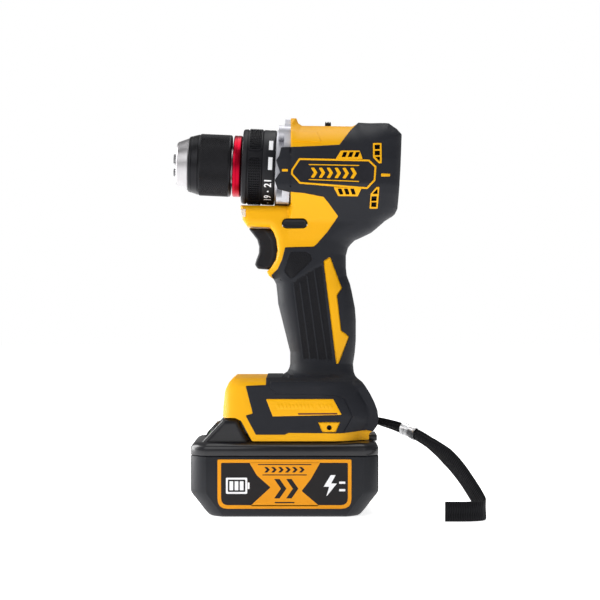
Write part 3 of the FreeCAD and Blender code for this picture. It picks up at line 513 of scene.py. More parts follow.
def case_side(points, grown=0.0):
    """How far the case's side stands from the centre plane at points of the side view, in mm.
    A layer over the case is grown by its thickness, round the edges as well."""
    x, z = points[:, 0], points[:, 1]
    side = np.interp(z, SIDE_HEIGHTS, SIDE_WIDTHS)
    behind = smooth_step((x - 2.0) / 2.4)
    head = np.where(z < 200.5, SHROUD_WIDTH + (side - SHROUD_WIDTH) * behind, side)
    head = np.where(z < 147, side, head)
    head -= 0.055 * np.clip(x - 53.8, 0, 30) * smooth_step((z - 184) / 8)
    edge_d = np.minimum(loop_distance(points, ROUND_EDGE, False), loop_distance(points, GRIP_EDGE, False))
    outside = (loop_distance(points, WHOLE_EDGE) < 0) & ((x > 3.9) | (z < 200))
    edge_d = np.where(outside & (edge_d < 2.0), -edge_d, edge_d) + grown
    radius = np.interp(z, ROUND_HEIGHTS, ROUND_RADII)
    roof_radius = BACK_RADIUS + (radius - BACK_RADIUS) * smooth_step((64.0 - x) / 12.0)
    radius = np.where(z > ROOF_START, roof_radius, radius)
    head -= fall(edge_d, radius) * smooth_step((z - 80) / 6)
    in_shroud = (z < 195) & (z > 146) & (x < 6)
    head -= np.where(in_shroud, fall(loop_distance(points, SHROUD_EDGE, False), 4.5), 0)
    head -= np.where(z > 203, fall(loop_distance(points, FRONT_EDGE, False), 1.2) * (x > 3.7), 0)
    rear_d = loop_distance(points, np.array(CASE_EDGE[-1:] + FOOT_REAR, float), False)
    rear_d = np.where(outside & (rear_d < 2.0), -rear_d, rear_d) + grown
    foot = FOOT_WIDTH - fall(rear_d, 26.0) - fall(x + 38.8, 13.0) - fall(FOOT_TOP + grown - z, 5.5)
    foot = np.where(z > FOOT_TOP + grown, 0, foot)
    return np.maximum(head, foot) + grown


def case_inner(points, side):
    """The inside of the shell, hollowed for the motor, gear case, trigger and battery rails."""
    x, z = points[:, 0], points[:, 1]
    room = loop_distance(points, WHOLE_EDGE)
    inner = np.where(room > SHELL_WALL, side - SHELL_WALL, 0)
    axis_height = HEAD_HEIGHT - x * math.tan(HEAD_TILT)
    bore = np.sqrt(np.maximum(MOTOR_BORE ** 2 - (z - axis_height) ** 2, 0))
    inner = np.where(x < 62, np.maximum(inner, bore), inner)
    inner = np.where((x < 8) & (z > 153.2) & (z < 180.8), np.maximum(inner, 9.4), inner)
    inner = np.where((x < 50.6) & (z < 60.2), np.maximum(inner, np.where(z < 50.6, 22.4, 26.4)), inner)
    inner = np.where((z < 50.2) & (x > 44), np.maximum(inner, 16.2), inner)
    inner = np.where((x < 3.7) & (z > 200), np.maximum(side - 3.4, 27.3), inner)
    return np.minimum(inner, side - 0.7)


RINGS = (0.05, 0.2, 0.5, 1.0, 1.8, 2.8, 4.0)


def side_piece(outline, surface, inner, holes=(), marks=(), grid=1.5, rings=RINGS, step=1.1):
    """Vertices and faces of a closed piece drawn in the side view: its outer face follows surface,
    its back follows inner. Marks are loops the mesh has to follow closely, for crisp steps."""
    loops = [spaced(outline, step)] + [spaced(hole, min(step, 0.8)) for hole in holes]
    fixed, edges = [], []
    for loop in loops:
        first = len(fixed)
        fixed += list(loop)
        edges += [(first + i, first + (i + 1) % len(loop)) for i in range(len(loop))]
    loose = []
    for ring in rings:
        loose.append(beside(loops[0], ring))
        for hole in loops[1:]:
            loose.append(beside(hole, -ring))
    for mark in marks:
        dense = spaced(mark, 0.8)
        loose += [beside(dense, 0.18), beside(dense, -0.18)]
    low, high = loops[0].min(axis=0), loops[0].max(axis=0)
    columns = np.arange(low[0], high[0], grid)
    for i, row in enumerate(np.arange(low[1], high[1], grid * 0.866)):
        loose.append(np.stack([columns + (i % 2) * grid / 2, np.full(len(columns), row)], axis=1))
    grid_points = np.concatenate(loose)
    keep = loop_distance(grid_points, loops[0]) > 0.035
    for hole in loops[1:]:
        keep &= loop_distance(grid_points, hole) < -0.035
    grid_points = grid_points[keep]
    far = np.ones(len(grid_points), bool)
    cells = {}
    for index, point in enumerate(grid_points):
        key = (int(point[0] // 0.16), int(point[1] // 0.16))
        if key in cells:
            far[index] = False
        cells[key] = True
    every = np.concatenate([np.array(fixed), grid_points[far]])
    flat, _, triangles, *_ = delaunay_2d_cdt([Vector(p) for p in every], edges, [], 0, 1e-4)
    flat = np.array([tuple(v) for v in flat])
    triangles = np.array(triangles)
    middles = flat[triangles].mean(axis=1)
    keep = loop_distance(middles, loops[0]) > 0
    for hole in loops[1:]:
        keep &= loop_distance(middles, hole) < 0
    triangles = triangles[keep]
    a, b, c = (flat[triangles[:, i]] for i in range(3))
    turn = (b[:, 0] - a[:, 0]) * (c[:, 1] - a[:, 1]) - (b[:, 1] - a[:, 1]) * (c[:, 0] - a[:, 0])
    triangles[turn < 0] = triangles[turn < 0][:, ::-1]
    outer = surface(flat)
    back = np.minimum(inner(flat, outer), outer - 0.3)
    count = len(flat)
    vertices = np.concatenate([
        np.stack([flat[:, 0], -outer, flat[:, 1]], axis=1),
        np.stack([flat[:, 0], -back, flat[:, 1]], axis=1),
    ]) * MM
    faces = [tuple(t) for t in triangles] + [tuple(t[::-1] + count) for t in triangles]
    used = {}
    for t in triangles:
        for i in range(3):
            used[(t[i], t[(i + 1) % 3])] = True
    for start, end in used:
        if (end, start) not in used:
            faces.append((start, start + count, end + count, end))
    return vertices, faces


def both_sides(name, body, slot, material, vertices, faces, nodes=("", ""), right=None):
    """The piece for the left side, and its mirror image (or that of another mesh) for the right."""
    made = []
    for side, node in zip(("left", "right"), nodes):
        if side == "right":
            vertices, faces = right or (vertices, faces)
            vertices = vertices * np.array([1.0, -1.0, 1.0])
            faces = [tuple(reversed(face)) for face in faces]
        piece = make_object("%s_%s" % (name, side), vertices, faces, [material], 38.0)
        place_piece(piece, body, slot, *([node] if node else []))
        made.append(piece)
    return made


def plateau(points, loop, height, width=0.3):
    """A raised (or sunk) area with a narrow sloping edge."""
    return height * smooth_step(loop_distance(points, loop) / width + 0.5)


def stadium_loop(x0, x1, z0, z1):
    radius = (z1 - z0) / 2
    turn = np.linspace(-math.pi / 2, math.pi / 2, 13)
    right = [(x1 - radius + radius * math.cos(a), (z0 + z1) / 2 + radius * math.sin(a)) for a in turn]
    left = [(x0 + radius - radius * math.cos(a), (z0 + z1) / 2 - radius * math.sin(a)) for a in turn]
    return np.array(right + left)


yellow_material = plastic("yellow_nylon", (0.78, 0.375, 0.0005, 1), (0.85, 0.415, 0.001, 1), 0.36, 0.1,
                          45.0, 2600.0, 0.00006, Specular_IOR_Level=0.2)

case_outline = rounded(CASE_EDGE + FOOT_REAR + FOOT_FRONT + GRIP_FRONT + GUARD, 1.2)
strip_raised = rounded(shrunk(GRIP_STRIP, 0.5), 0.8)
hook_raised = rounded(shrunk(HOOK_PLATE, 0.45), 0.6)
button_loop = stadium_loop(*BUTTON_SLOT)
strip_open = rounded(shrunk(GRIP_STRIP, -0.9), 0.8)
hook_open = rounded(shrunk(HOOK_PLATE, -0.9), 0.6)
bed_edge = [(-2.2, 229.6)] + ROOF_SEAM + CASE_EDGE[6:] + FOOT_REAR[:-2] + FOOT_SEAM + [(-11.5, 85.8)]
bed_edge += GRIP_FRONT + MID_SEAM + TONGUE_EDGE[:-1]
cover_bed = rounded(shrunk(bed_edge, 0.35), 0.5)
roof_panel = rounded([(2.0, 241.0), (19.8, 240.2), (22.9, 232.8), (2.0, 233.6)], 0.7)
SCREW_HOLES = [               # on the right side only: x, z and how far out the housing stands there
    (67.3, 236.5, 29.2), (65.5, 194.0, 22.9), (37.5, 181.5, 17.5), (4.5, 140.0, 14.5), (37.0, 100.0, 13.5),
    (-28.0, 73.0, 33.8), (47.5, 72.0, 30.0),
]
SCREW_BORE = 2.9
TUBE_RADIUS = 4.1
TUBE_AROUND = 32
screw_loops = [stadium_loop(x - SCREW_BORE, x + SCREW_BORE, z - SCREW_BORE, z + SCREW_BORE)
               for x, z, _ in SCREW_HOLES]


def vent_slots():
    """The air slots of the side: three slanted ones over and under the badge, three at the back twice."""
    slots = []
    for k in range(3):
        x = 35.6 + 3.9 * k
        slots.append([(x, 223.4), (x + 2.1, 223.4), (x + 3.3, 226.4), (x + 1.2, 226.4)])
        x = 33.2 + 3.9 * k
        slots.append([(x + 1.2, 200.3), (x + 3.3, 200.3), (x + 2.1, 203.6), (x, 203.6)])
    for z in (231.0, 227.2):
        slots.append([(56.2, z - 2.6), (59.2, z - 2.6), (59.2, z), (56.2, z)])
    slots.append([(59.2, 220.6), (59.2, 223.4), (56.4, 223.4)])
    for z in (199.0, 195.4):
        slots.append([(54.2, z - 2.6), (57.2, z - 2.6), (57.4, z), (54.4, z)])
    slots.append([(57.8, 200.6), (57.8, 203.6), (54.9, 200.6)])
    return [np.array(slot, float) for slot in slots]


slot_loops = [rounded(slot, 0.3) for slot in vent_slots()]


def yellow_surface(points):
    side = case_side(points)
    side += plateau(points, strip_raised, 0.5) + plateau(points, hook_raised, 0.5)
    side += plateau(points, roof_panel, 0.7, 0.5)
    hidden = plateau(points, cover_bed, 1.3, 0.4)
    hidden *= 1 - plateau(points, strip_open, 1.0) - plateau(points, hook_open, 1.0)
    return side - hidden


hook_bore = stadium_loop(26.1, 29.3, 53.6, 56.8)
case_holes = [button_loop, hook_bore] + [rounded(shrunk(slot, -0.3), 0.3) for slot in vent_slots()]
case_marks = [strip_raised, hook_raised, roof_panel, cover_bed]
yellow_mesh = side_piece(case_outline, yellow_surface, case_inner, case_holes, case_marks)
yellow_right = side_piece(case_outline, yellow_surface, case_inner, case_holes + screw_loops, case_marks)
both_sides("case", "drill_body", "yellow_plastic", yellow_material, *yellow_mesh,
           nodes=("housing_left", "housing_right"), right=yellow_right)


def boss_tubes():
    """The moulded tubes that lead the screwdriver to the sunk screw heads, on the right side."""
    vertices, faces = [], []
    turns = np.linspace(0, 2 * math.pi, TUBE_AROUND + 1)[:-1]
    for x, z, half in SCREW_HOLES:
        top = case_side(np.array([[x, z]]))[0] - 2.2
        first = len(vertices)
        bottom = half - 5.2
        for radius, y in ((SCREW_BORE, bottom), (SCREW_BORE, top), (TUBE_RADIUS, top), (TUBE_RADIUS, bottom)):
            vertices += [np.array([x + radius * math.cos(a), y, z + radius * math.sin(a)]) * MM
                         for a in turns]
        for ring in range(4):
            for k in range(TUBE_AROUND):
                nxt = (k + 1) % TUBE_AROUND
                a, b = first + ring * TUBE_AROUND, first + (ring + 1) % 4 * TUBE_AROUND
                faces.append((a + k, b + k, b + nxt, a + nxt))
    return vertices, faces


tubes = make_object("screw_boss_tubes", *boss_tubes(), [yellow_material], 35.0)
place_piece(tubes, "drill_body", "yellow_plastic")

# ---- Case: charcoal soft-grip cover -------------------------------------------------------
# A soft rubber moulded over the yellow shell: the back of the motor, the grip and the foot's sides.
# It stands half a millimetre proud, with ribs where the fingers close and a plain pad for the thumb.
COVER_PROUD = 0.5
THUMB_PAD = [(3.7, 164.7), (13.3, 165.0), (16.4, 163.3), (17.5, 159.9), (6.0, 148.7), (3.7, 147.8),
             (0.4, 151.5), (-0.2, 153.2)]
RIBS = [((5.8, 142.5), (11.5, 98.1)), ((9.6, 145.1), (16.0, 97.2)), ((14.1, 149.6), (21.2, 96.9)),
        ((18.6, 153.4), (27.0, 95.9))]


def outset(line, distance):
    """An open line moved to its left-hand side."""
    line = np.array(line, float)
    along = np.gradient(line, axis=0)
    along /= np.linalg.norm(along, axis=1)[:, None]
    return line + np.stack([-along[:, 1], along[:, 0]], axis=1) * distance


back_line = outset(CASE_EDGE[6:] + FOOT_REAR[:-2], COVER_PROUD)
front_line = outset([(-11.5, 85.8)] + GRIP_FRONT, COVER_PROUD)
cover_loop = ([(-2.2, 229.6)] + ROOF_SEAM + list(map(tuple, back_line)) + FOOT_SEAM
              + list(map(tuple, front_line)) + MID_SEAM + TONGUE_EDGE[:-1])
cover_outline = rounded(cover_loop, 0.7)
thumb_pad = rounded(THUMB_PAD, 1.2)
strip_hole = rounded(GRIP_STRIP, 1.0)
hook_hole = rounded(HOOK_PLATE, 0.7)


def rib_height(points):
    """Fine raised lines with shallow valleys between them."""
    x, z = points[:, 0], points[:, 1]
    height = np.zeros(len(points))
    for (x0, z0), (x1, z1) in RIBS:
        line = np.array([[x0, z0], [x1, z1]])
        gap = loop_distance(points, line, False)
        height += 0.42 * np.exp(-(gap / 0.42) ** 2)
    return height


def rib_loops():
    loops = []
    for (x0, z0), (x1, z1) in RIBS:
        for off in (-0.9, -0.35, 0.0, 0.35, 0.9):
            loops.append(np.array([(x0 + off, z0), (x1 + off, z1), (x1 + off + 0.01, z1),
                                   (x0 + off + 0.01, z0)]))
    return loops


RIB_FIELD = rounded([(4.2, 146.0), (24.2, 158.0), (30.9, 96.0), (11.0, 96.5)], 2.0)
FOOT_LINE = [(-8.9, 80.1), (-5.2, 76.4), (32.2, 75.3), (37.5, 72.6), (42.3, 62.0), (36.4, 51.8),
             (36.4, 40.0), (60.0, 40.0), (60.0, 84.0), (-8.9, 84.0)]
foot_step = rounded(FOOT_LINE, 1.0)


def cover_surface(points):
    outline_d = loop_distance(points, cover_outline)
    side = case_side(points, COVER_PROUD)
    side -= fall(outline_d, 0.6)
    side -= plateau(points, RIB_FIELD, 0.45, 1.2)
    side += rib_height(points)
    side -= plateau(points, thumb_pad, 0.5, 0.5)
    side -= fall(-loop_distance(points, strip_hole), 0.4) * (loop_distance(points, strip_hole) < 0.5)
    side += plateau(points, foot_step, 0.9, 0.5) * (points[:, 1] < 84)
    return side


cover_holes = [strip_hole, hook_hole] + slot_loops
cover_marks = [thumb_pad, RIB_FIELD, foot_step] + rib_loops()
cover_mesh = side_piece(cover_outline, cover_surface, case_inner, cover_holes, cover_marks)
cover_right = side_piece(cover_outline, cover_surface, case_inner,
                         cover_holes + screw_loops[:5] + screw_loops[6:], cover_marks)
rubber_material = plastic("charcoal_rubber", (0.007, 0.008, 0.012, 1), (0.012, 0.013, 0.018, 1), 0.5, 0.12,
                          60.0, 3200.0, 0.00008, Specular_IOR_Level=0.24)
cover_pieces = both_sides("soft_cover", "drill_body", "black_rubber", rubber_material, *cover_mesh,
                          nodes=("grip_cover_left", "grip_cover_right"), right=cover_right)

# The thumb pad and the sunk rib field between the ribs have a fine dotted grain bump, and their colour is
# painted darker as shade in these sunk areas.
# painted shade: this grained rubber is coloured darker than the cover to stand for the shade in the sunk
# areas
pad_look = Look("grained_rubber_painted_shade", Roughness=0.62, Specular_IOR_Level=0.22)
pad_dots = pad_look.node("ShaderNodeTexVoronoi", Vector=pad_look.place(), Scale=1500.0)
pad_height = pad_look.ease(pad_dots, 0.1, 0.5)
sunk_area_shade_material = pad_look.finish(pad_look.mix(pad_height, (0.005, 0.005, 0.008, 1), (0.003, 0.003, 0.005, 1)),
                               height=pad_height, depth=0.00015)
for piece in cover_pieces:
    piece.data.materials.append(sunk_area_shade_material)
    middles = np.array([face.center for face in piece.data.polygons]) / MM
    flat_middles = middles[:, [0, 2]]
    # painted shade: faces in the sunk rib valleys and the sunk thumb pad take the darker grained material
    shaded_valley = (loop_distance(flat_middles, RIB_FIELD) > 0.9) & (rib_height(flat_middles) < 0.16)
    dark = shaded_valley | (loop_distance(flat_middles, thumb_pad) > 0.1)
    dark &= np.abs(middles[:, 1]) > 5
    piece.data.polygons.foreach_set("material_index", dark.astype(np.int32))

# ---- Side badge, air vents and trim -------------------------------------------------------
# A black plate with a yellow outline is pressed into each side of the motor housing. Yellow moulded
# frames surround the slanted cooling slots above, below and behind it, with two short index dashes.
BADGE = [(9.0, 222.6), (52.6, 221.7), (57.1, 217.5), (56.5, 208.7), (51.5, 203.4), (9.3, 206.7),
         (4.0, 212.6), (4.2, 215.4)]


def plate_on_side(name, loop, lift, holes=(), node=("", ""), material=yellow_material,
                  slot="yellow_plastic", soft=0.25, deep=1.0, bump=None, marks=()):
    """A thin plate that follows the case's side, standing lift above it."""
    outline = rounded(loop, 0.5)
    openings = [rounded(hole, 0.4) for hole in holes]

    def surface(points):
        side = case_side(points) + lift - fall(loop_distance(points, outline), soft)
        for hole in openings:
            side -= fall(-loop_distance(points, hole), soft)
        return side + (bump(points) if bump else 0)

    mesh = side_piece(outline, surface, lambda points, outer: outer - deep, openings, marks,
                      rings=(0.06, 0.16, soft), step=1.0)
    return both_sides(name, "drill_body", slot, material, *mesh, nodes=node)


badge_material = plastic("badge_black", (0.007, 0.007, 0.010, 1), (0.012, 0.012, 0.017, 1), 0.3, 0.1, 300.0,
                         depth=0.00005, Specular_IOR_Level=0.3)
plate_on_side("badge_plate", shrunk(BADGE, 0.2), 0.75, node=("side_badges", ""), material=badge_material,
              slot="badge_plastic", deep=1.6)
plate_on_side("badge_outline", BADGE, 1.05, [shrunk(BADGE, 1.15)])
for name, z_low, z_high, lean in (("upper", 218.3, 218.9, -0.02), ("lower", 209.0, 209.6, -0.04)):
    bar = [(15.0, z_low), (46.4, z_low + lean * 30), (46.4, z_high + lean * 30), (15.0, z_high)]
    plate_on_side("badge_line_%s" % name, bar, 1.0, soft=0.1)
for k in range(6):
    x = 16.2 + 4.9 * k
    chevron = [(x, 216.7 - 0.03 * k), (x + 2.2, 216.7 - 0.03 * k), (x + 4.2, 213.6 - 0.1 * k),
               (x + 2.2, 210.5 - 0.12 * k), (x, 210.5 - 0.12 * k), (x + 2.0, 213.6 - 0.1 * k)]
    plate_on_side("badge_chevron_%d" % k, chevron, 1.0, soft=0.1)

slots = vent_slots()
for name, outline, inside in (
        ("top", [(31.7, 222.0), (48.6, 222.0), (46.7, 227.4), (35.0, 227.4)], slots[0:6:2]),
        ("bottom", [(30.4, 204.7), (47.9, 203.9), (45.6, 199.0), (33.4, 199.2)], slots[1:6:2]),
        ("rear_top", [(55.0, 232.2), (60.4, 232.2), (60.4, 219.4), (58.6, 219.4), (55.0, 223.0)],
         slots[6:9]),
        ("rear_low", [(53.1, 191.6), (58.2, 191.6), (59.0, 204.8), (57.2, 204.8), (53.6, 200.6)],
         slots[9:12])):
    plate_on_side("vent_frame_" + name, outline, 1.0, [shrunk(slot, -0.12) for slot in inside])
plate_on_side("dash_front", [(-1.6, 214.3), (2.1, 214.3), (2.1, 215.9), (-1.6, 215.9)], 0.75)
plate_on_side("dash_rear", [(60.0, 211.2), (65.9, 211.2), (65.9, 213.1), (60.0, 213.1)], 0.75)

# ---- Foot trim ----------------------------------------------------------------------------
# A yellow plate with raised bars and a dark red line is set into each side of the foot.
FOOT_PLATE = [(-11.5, 73.0), (30.2, 73.0), (35.5, 63.2), (-7.3, 62.2)]
bar_loops = []
for first, last in ((-4.6, 17.4), (21.0, 28.6)):
    for x in np.arange(first, last, 2.3):
        bar_loops.append(np.array([(x, 67.2), (x + 1.6, 67.2), (x + 1.3, 69.6), (x - 0.3, 69.6)]))


def foot_bars(points):
    height = np.zeros(len(points))
    for loop in bar_loops:
        height += plateau(points, loop, 0.22, 0.25)
    return height


plate_on_side("foot_plate", FOOT_PLATE, 0.95, node=("foot_plates", ""), deep=2.0, soft=0.4,
              bump=foot_bars, marks=bar_loops)
red_look = Look("dark_red_print")
red_grain = red_look.noise(red_look.place(), 800.0)
red_material = red_look.finish(red_look.mix(red_grain, (0.075, 0.004, 0.002, 1), (0.11, 0.008, 0.004, 1)),
                               red_grain * 0.2 + 0.4)
plate_on_side("foot_red_line", [(8.6, 63.3), (33.0, 63.5), (32.6, 64.4), (8.2, 64.3)], 1.05,
              material=red_material, soft=0.1)

# ---- Chuck --------------------------------------------------------------------------------
# A keyless chuck: a turned, satin-bright steel nose, a blackened sleeve with a fine diamond knurl to turn
# by hand, and a red anodised ring behind it. Three hardened jaws stand in the mouth.
def head_place(station, radius, turn):
    """A point round the head's axis, in metres. Turn 0 faces the left side, and a quarter turn is up."""
    height, side = radius * math.sin(turn), -radius * math.cos(turn)
    x = station * math.cos(HEAD_TILT) + height * math.sin(HEAD_TILT)
    z = HEAD_HEIGHT - station * math.sin(HEAD_TILT) + height * math.cos(HEAD_TILT)
    return np.array([x, side, z]) * MM


def turned_piece(name, profile, material, around=128, angle=30.0):
    """A closed ring turned round the head's axis from (station, radius) points."""
    vertices, faces = [], []
    for station, radius in profile:
        vertices += [head_place(station, radius, 2 * math.pi * k / around) for k in range(around)]
    count = len(profile)
    for i in range(count):
        following = (i + 1) % count
        for k in range(around):
            nxt = (k + 1) % around
            faces.append((i * around + k, following * around + k, following * around + nxt,
                          i * around + nxt))
    return make_object(name, vertices, faces, [material], angle)


def arc_profile(start, end, corner, steps=5):
    """A quarter-round between two profile points, bulging towards the corner point."""
    made = []
    for i in range(steps + 1):
        t = i / steps
        made.append(tuple(start[j] * (1 - t) ** 2 + corner[j] * 2 * t * (1 - t) + end[j] * t ** 2
                          for j in (0, 1)))
    return made


def head_coordinates(look):
    """A material's place along the head's axis and round it, in metres and turns."""
    x, y, z = look.axes(look.place())
    height = z - HEAD_HEIGHT * MM
    along = x * math.cos(HEAD_TILT) - height * math.sin(HEAD_TILT)
    up = x * math.sin(HEAD_TILT) + height * math.cos(HEAD_TILT)
    turn = look.math("ARCTAN2", up, y * -1.0)
    return along, turn, look.math("SQRT", up * up + y * y)


def turned_metal(name, dark, light, rough, fine=9000.0, depth=0.00004):
    """Metal with the fine circular lines of a lathe tool."""
    look = Look(name, Metallic=1.0)
    along, turn, radius = head_coordinates(look)
    lines = look.noise(look.node("ShaderNodeCombineXYZ", X=along * fine, Y=radius * fine, Z=turn * 1.5),
                       1.0, 2.0)
    cloud = look.noise(look.place(), 120.0, 3.0)
    tint = look.mix(lines * 0.6 + cloud * 0.4, dark, light)
    return look.finish(tint, cloud * 0.15 + rough, height=lines, depth=depth)


nose_material = turned_metal("nose_steel", (0.32, 0.31, 0.32, 1), (0.54, 0.53, 0.54, 1), 0.28)
sleeve_material = turned_metal("sleeve_steel", (0.012, 0.012, 0.013, 1), (0.030, 0.030, 0.033, 1), 0.30)
jaw_material = turned_metal("jaw_steel", (0.10, 0.10, 0.10, 1), (0.22, 0.22, 0.23, 1), 0.34)
red_ring_material = turned_metal("red_anodised", (0.30, 0.002, 0.012, 1), (0.48, 0.006, 0.030, 1), 0.24)


def repaint(node, material):
    """Give a CAD node's own faces a material."""
    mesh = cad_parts[node].data
    if len(mesh.materials) == 0:
        mesh.materials.append(material)
    for i in range(len(mesh.materials)):
        mesh.materials[i] = material


repaint("chuck_body", nose_material)
for number in (1, 2, 3):
    repaint("jaw_%d" % number, jaw_material)

sleeve_profile = (
    [(-61.5, 16.1), (-61.5, 16.9)] + arc_profile((-61.3, 17.3), (-60.9, 17.6), (-61.2, 17.5), 2)
    + [(-59.6, 18.0), (-59.5, 17.75), (-59.2, 17.75), (-59.1, 18.1), (-56.4, 18.85), (-55.3, 19.2),
       (-55.15, 18.9), (-54.8, 18.9), (-54.6, 19.35), (-53.9, 19.4), (-35.9, 19.4), (-35.6, 19.7)]
    + arc_profile((-35.3, 19.7), (-34.2, 18.8), (-34.3, 19.6), 3)
    + [(-34.2, 11.1), (-36.4, 11.1), (-36.4, 17.1), (-58.4, 17.1), (-58.4, 16.1)])
sleeve = turned_piece("chuck_sleeve_body", sleeve_profile, sleeve_material)
place_piece(sleeve, "chuck_sleeve", "dark_steel", "chuck_sleeve")


class Recipe:
    """A Geometry Nodes group: numbers named as inputs, nodes added one at a time."""

    def __init__(self, name, **inputs):
        self.group = bpy.data.node_groups.new(name, "GeometryNodeTree")
        self.group.interface.new_socket("Geometry", in_out="INPUT", socket_type="NodeSocketGeometry")
        self.group.interface.new_socket("Geometry", in_out="OUTPUT", socket_type="NodeSocketGeometry")
        self.values = {}
        for label, value in inputs.items():
            kind = "NodeSocketInt" if isinstance(value, int) else "NodeSocketFloat"
            made = self.group.interface.new_socket(label, in_out="INPUT", socket_type=kind)
            made.default_value = value
            self.values[made.identifier] = value
        self.entry = self.group.nodes.new("NodeGroupInput")
        self.exit = self.group.nodes.new("NodeGroupOutput")

    def input(self, label):
        return self.entry.outputs[label]

    def node(self, kind, settings=(), **sockets):
        made = self.group.nodes.new(kind)
        for setting, value in dict(settings).items():
            setattr(made, setting, value)
        for label, value in sockets.items():
            socket = made.inputs[int(label[1:]) if label[1:].isdigit() else label.replace("_", " ")]
            if isinstance(value, bpy.types.NodeSocket):
                self.group.links.new(value, socket)
            else:
                socket.default_value = value
        return made.outputs[0]

    def math(self, operation, first, second=0.0):
        return self.node("ShaderNodeMath", {"operation": operation}, n0=first, n1=second)

    def build(self, name, instances, material):
        """Realise the instances, give them the material and return them as a plain mesh object."""
        real = self.node("GeometryNodeRealizeInstances", Geometry=instances)
        painted = self.node("GeometryNodeSetMaterial", Geometry=real, Material=material)
        self.group.links.new(painted, self.exit.inputs[0])
        holder = bpy.data.objects.new(name, bpy.data.meshes.new(name + "_seed"))
        bpy.context.collection.objects.link(holder)
        modifier = holder.modifiers.new("recipe", "NODES")
        modifier.node_group = self.group
        for identifier, value in self.values.items():
            modifier[identifier] = value
        evaluated = holder.evaluated_get(bpy.context.evaluated_depsgraph_get())
        mesh = bpy.data.meshes.new_from_object(evaluated)
        holder.modifiers.remove(modifier)
        holder.data = mesh
        if len(mesh.materials) == 0:
            mesh.materials.append(material)
        return holder

    def round_axis(self, count, rows, radius, first, length, stagger=0.5):
        """Points on a drum round the head's axis, with the outward direction at each."""
        grid = self.node("GeometryNodeMeshGrid", Size_X=1.0, Size_Y=1.0, Vertices_X=count, Vertices_Y=rows)
        index = self.node("GeometryNodeInputIndex")
        column = self.math("FLOOR", self.math("DIVIDE", index, rows))
        row = self.math("SUBTRACT", index, self.math("MULTIPLY", column, rows))
        shift = self.math("MULTIPLY", self.math("MODULO", row, 2.0), stagger)
        turn = self.math("MULTIPLY", self.math("DIVIDE", self.math("ADD", column, shift), count),
                         2 * math.pi)
        across = self.math("SUBTRACT", rows, 1.0)
        along = self.math("ADD", self.math("MULTIPLY", self.math("DIVIDE", row, across), length), first)
        sine, cosine = self.math("SINE", turn), self.math("COSINE", turn)
        outward = self.node("ShaderNodeCombineXYZ", X=0.0, Y=self.math("MULTIPLY", cosine, -1.0), Z=sine)
        place = self.node("ShaderNodeCombineXYZ", X=along,
                          Y=self.math("MULTIPLY", self.math("MULTIPLY", cosine, radius), -1.0),
                          Z=self.math("MULTIPLY", sine, radius))
        points = self.node("GeometryNodeSetPosition", Geometry=grid, Position=place)
        return points, outward

    def to_head(self, geometry):
        return self.node("GeometryNodeTransform", Geometry=geometry, Rotation=(0.0, HEAD_TILT, 0.0),
                         Translation=(0.0, 0.0, HEAD_HEIGHT * MM))


knurl = Recipe("diamond_knurl", Around=96, Rows=28, Radius=19.38 * MM, First=-53.5 * MM, Length=17.4 * MM,
               Diamond=0.92 * MM, Height=0.36 * MM)
knurl_points, knurl_out = knurl.round_axis(*[knurl.input(label) for label in (
    "Around", "Rows", "Radius", "First", "Length")])
diamond = knurl.node("GeometryNodeMeshCone", Vertices=4,
                     Radius_Top=knurl.math("MULTIPLY", knurl.input("Diamond"), 0.12),
                     Radius_Bottom=knurl.input("Diamond"), Depth=knurl.input("Height"))
knurl_turn = knurl.node("FunctionNodeAlignRotationToVector", {"axis": "Z"}, Vector=knurl_out)
knurl_instances = knurl.node("GeometryNodeInstanceOnPoints", Points=knurl_points, Instance=diamond,
                             Rotation=knurl_turn)
knurl_piece = knurl.build("chuck_sleeve_knurl", knurl.to_head(knurl_instances), sleeve_material)
place_piece(knurl_piece, "chuck_sleeve", "dark_steel")

ring_profile = (
    arc_profile((-33.0, 18.6), (-32.2, 19.6), (-32.9, 19.5), 3)
    + [(-31.0, 19.6), (-30.9, 19.35), (-30.6, 19.35), (-30.5, 19.6)]
    + arc_profile((-28.6, 19.6), (-27.7, 18.6), (-27.8, 19.5), 3) + [(-27.7, 11.1), (-33.0, 11.1)])
ring = turned_piece("chuck_red_ring", ring_profile, red_ring_material)
place_piece(ring, "chuck", "red_ring", "chuck_ring")

# ---- Torque collar ------------------------------------------------------------------------
# A black nylon ring turned by hand to set the clutch. Four broad pads of small square studs give grip,
# and the numbers 5 to 21 with two plain marks are printed in white round its rear band.
collar_material = plastic("collar_nylon", (0.004, 0.004, 0.006, 1), (0.008, 0.008, 0.011, 1), 0.38, 0.12,
                          260.0, Specular_IOR_Level=0.22)
print_look = Look("white_print", Roughness=0.5)
print_speck = print_look.noise(print_look.place(), 2500.0)
print_material = print_look.finish(print_look.mix(print_speck, (0.72, 0.72, 0.74, 1),
                                                  (0.92, 0.92, 0.94, 1)))

collar_profile = (
    [(-27.2, 15.3), (-27.2, 22.4)] + arc_profile((-27.1, 22.9), (-26.2, 23.7), (-26.9, 23.5), 3)
    + [(-24.2, 23.9), (-24.0, 23.5), (-23.7, 23.5), (-23.5, 23.2), (-14.4, 23.2), (-14.2, 23.5),
       (-13.9, 23.8)]
    + [(-13.5, 23.9), (-7.2, 23.9)] + arc_profile((-6.6, 23.8), (-6.1, 23.2), (-6.2, 23.7), 3)
    + [(-6.1, 20.9), (-25.2, 20.9), (-25.2, 15.3)])
collar = turned_piece("torque_collar_ring", collar_profile, collar_material, 160)
place_piece(collar, "torque_collar", "black_plastic", "torque_collar")
PAD_STARTS = [math.radians(a) for a in (22, 112, 202, 292)]
PAD_SPAN = math.radians(80)
PAD_STATION = -18.9
PAD_RADIUS = 23.6
PRINT_STATION = -10.0
PRINT_RADIUS = 23.9


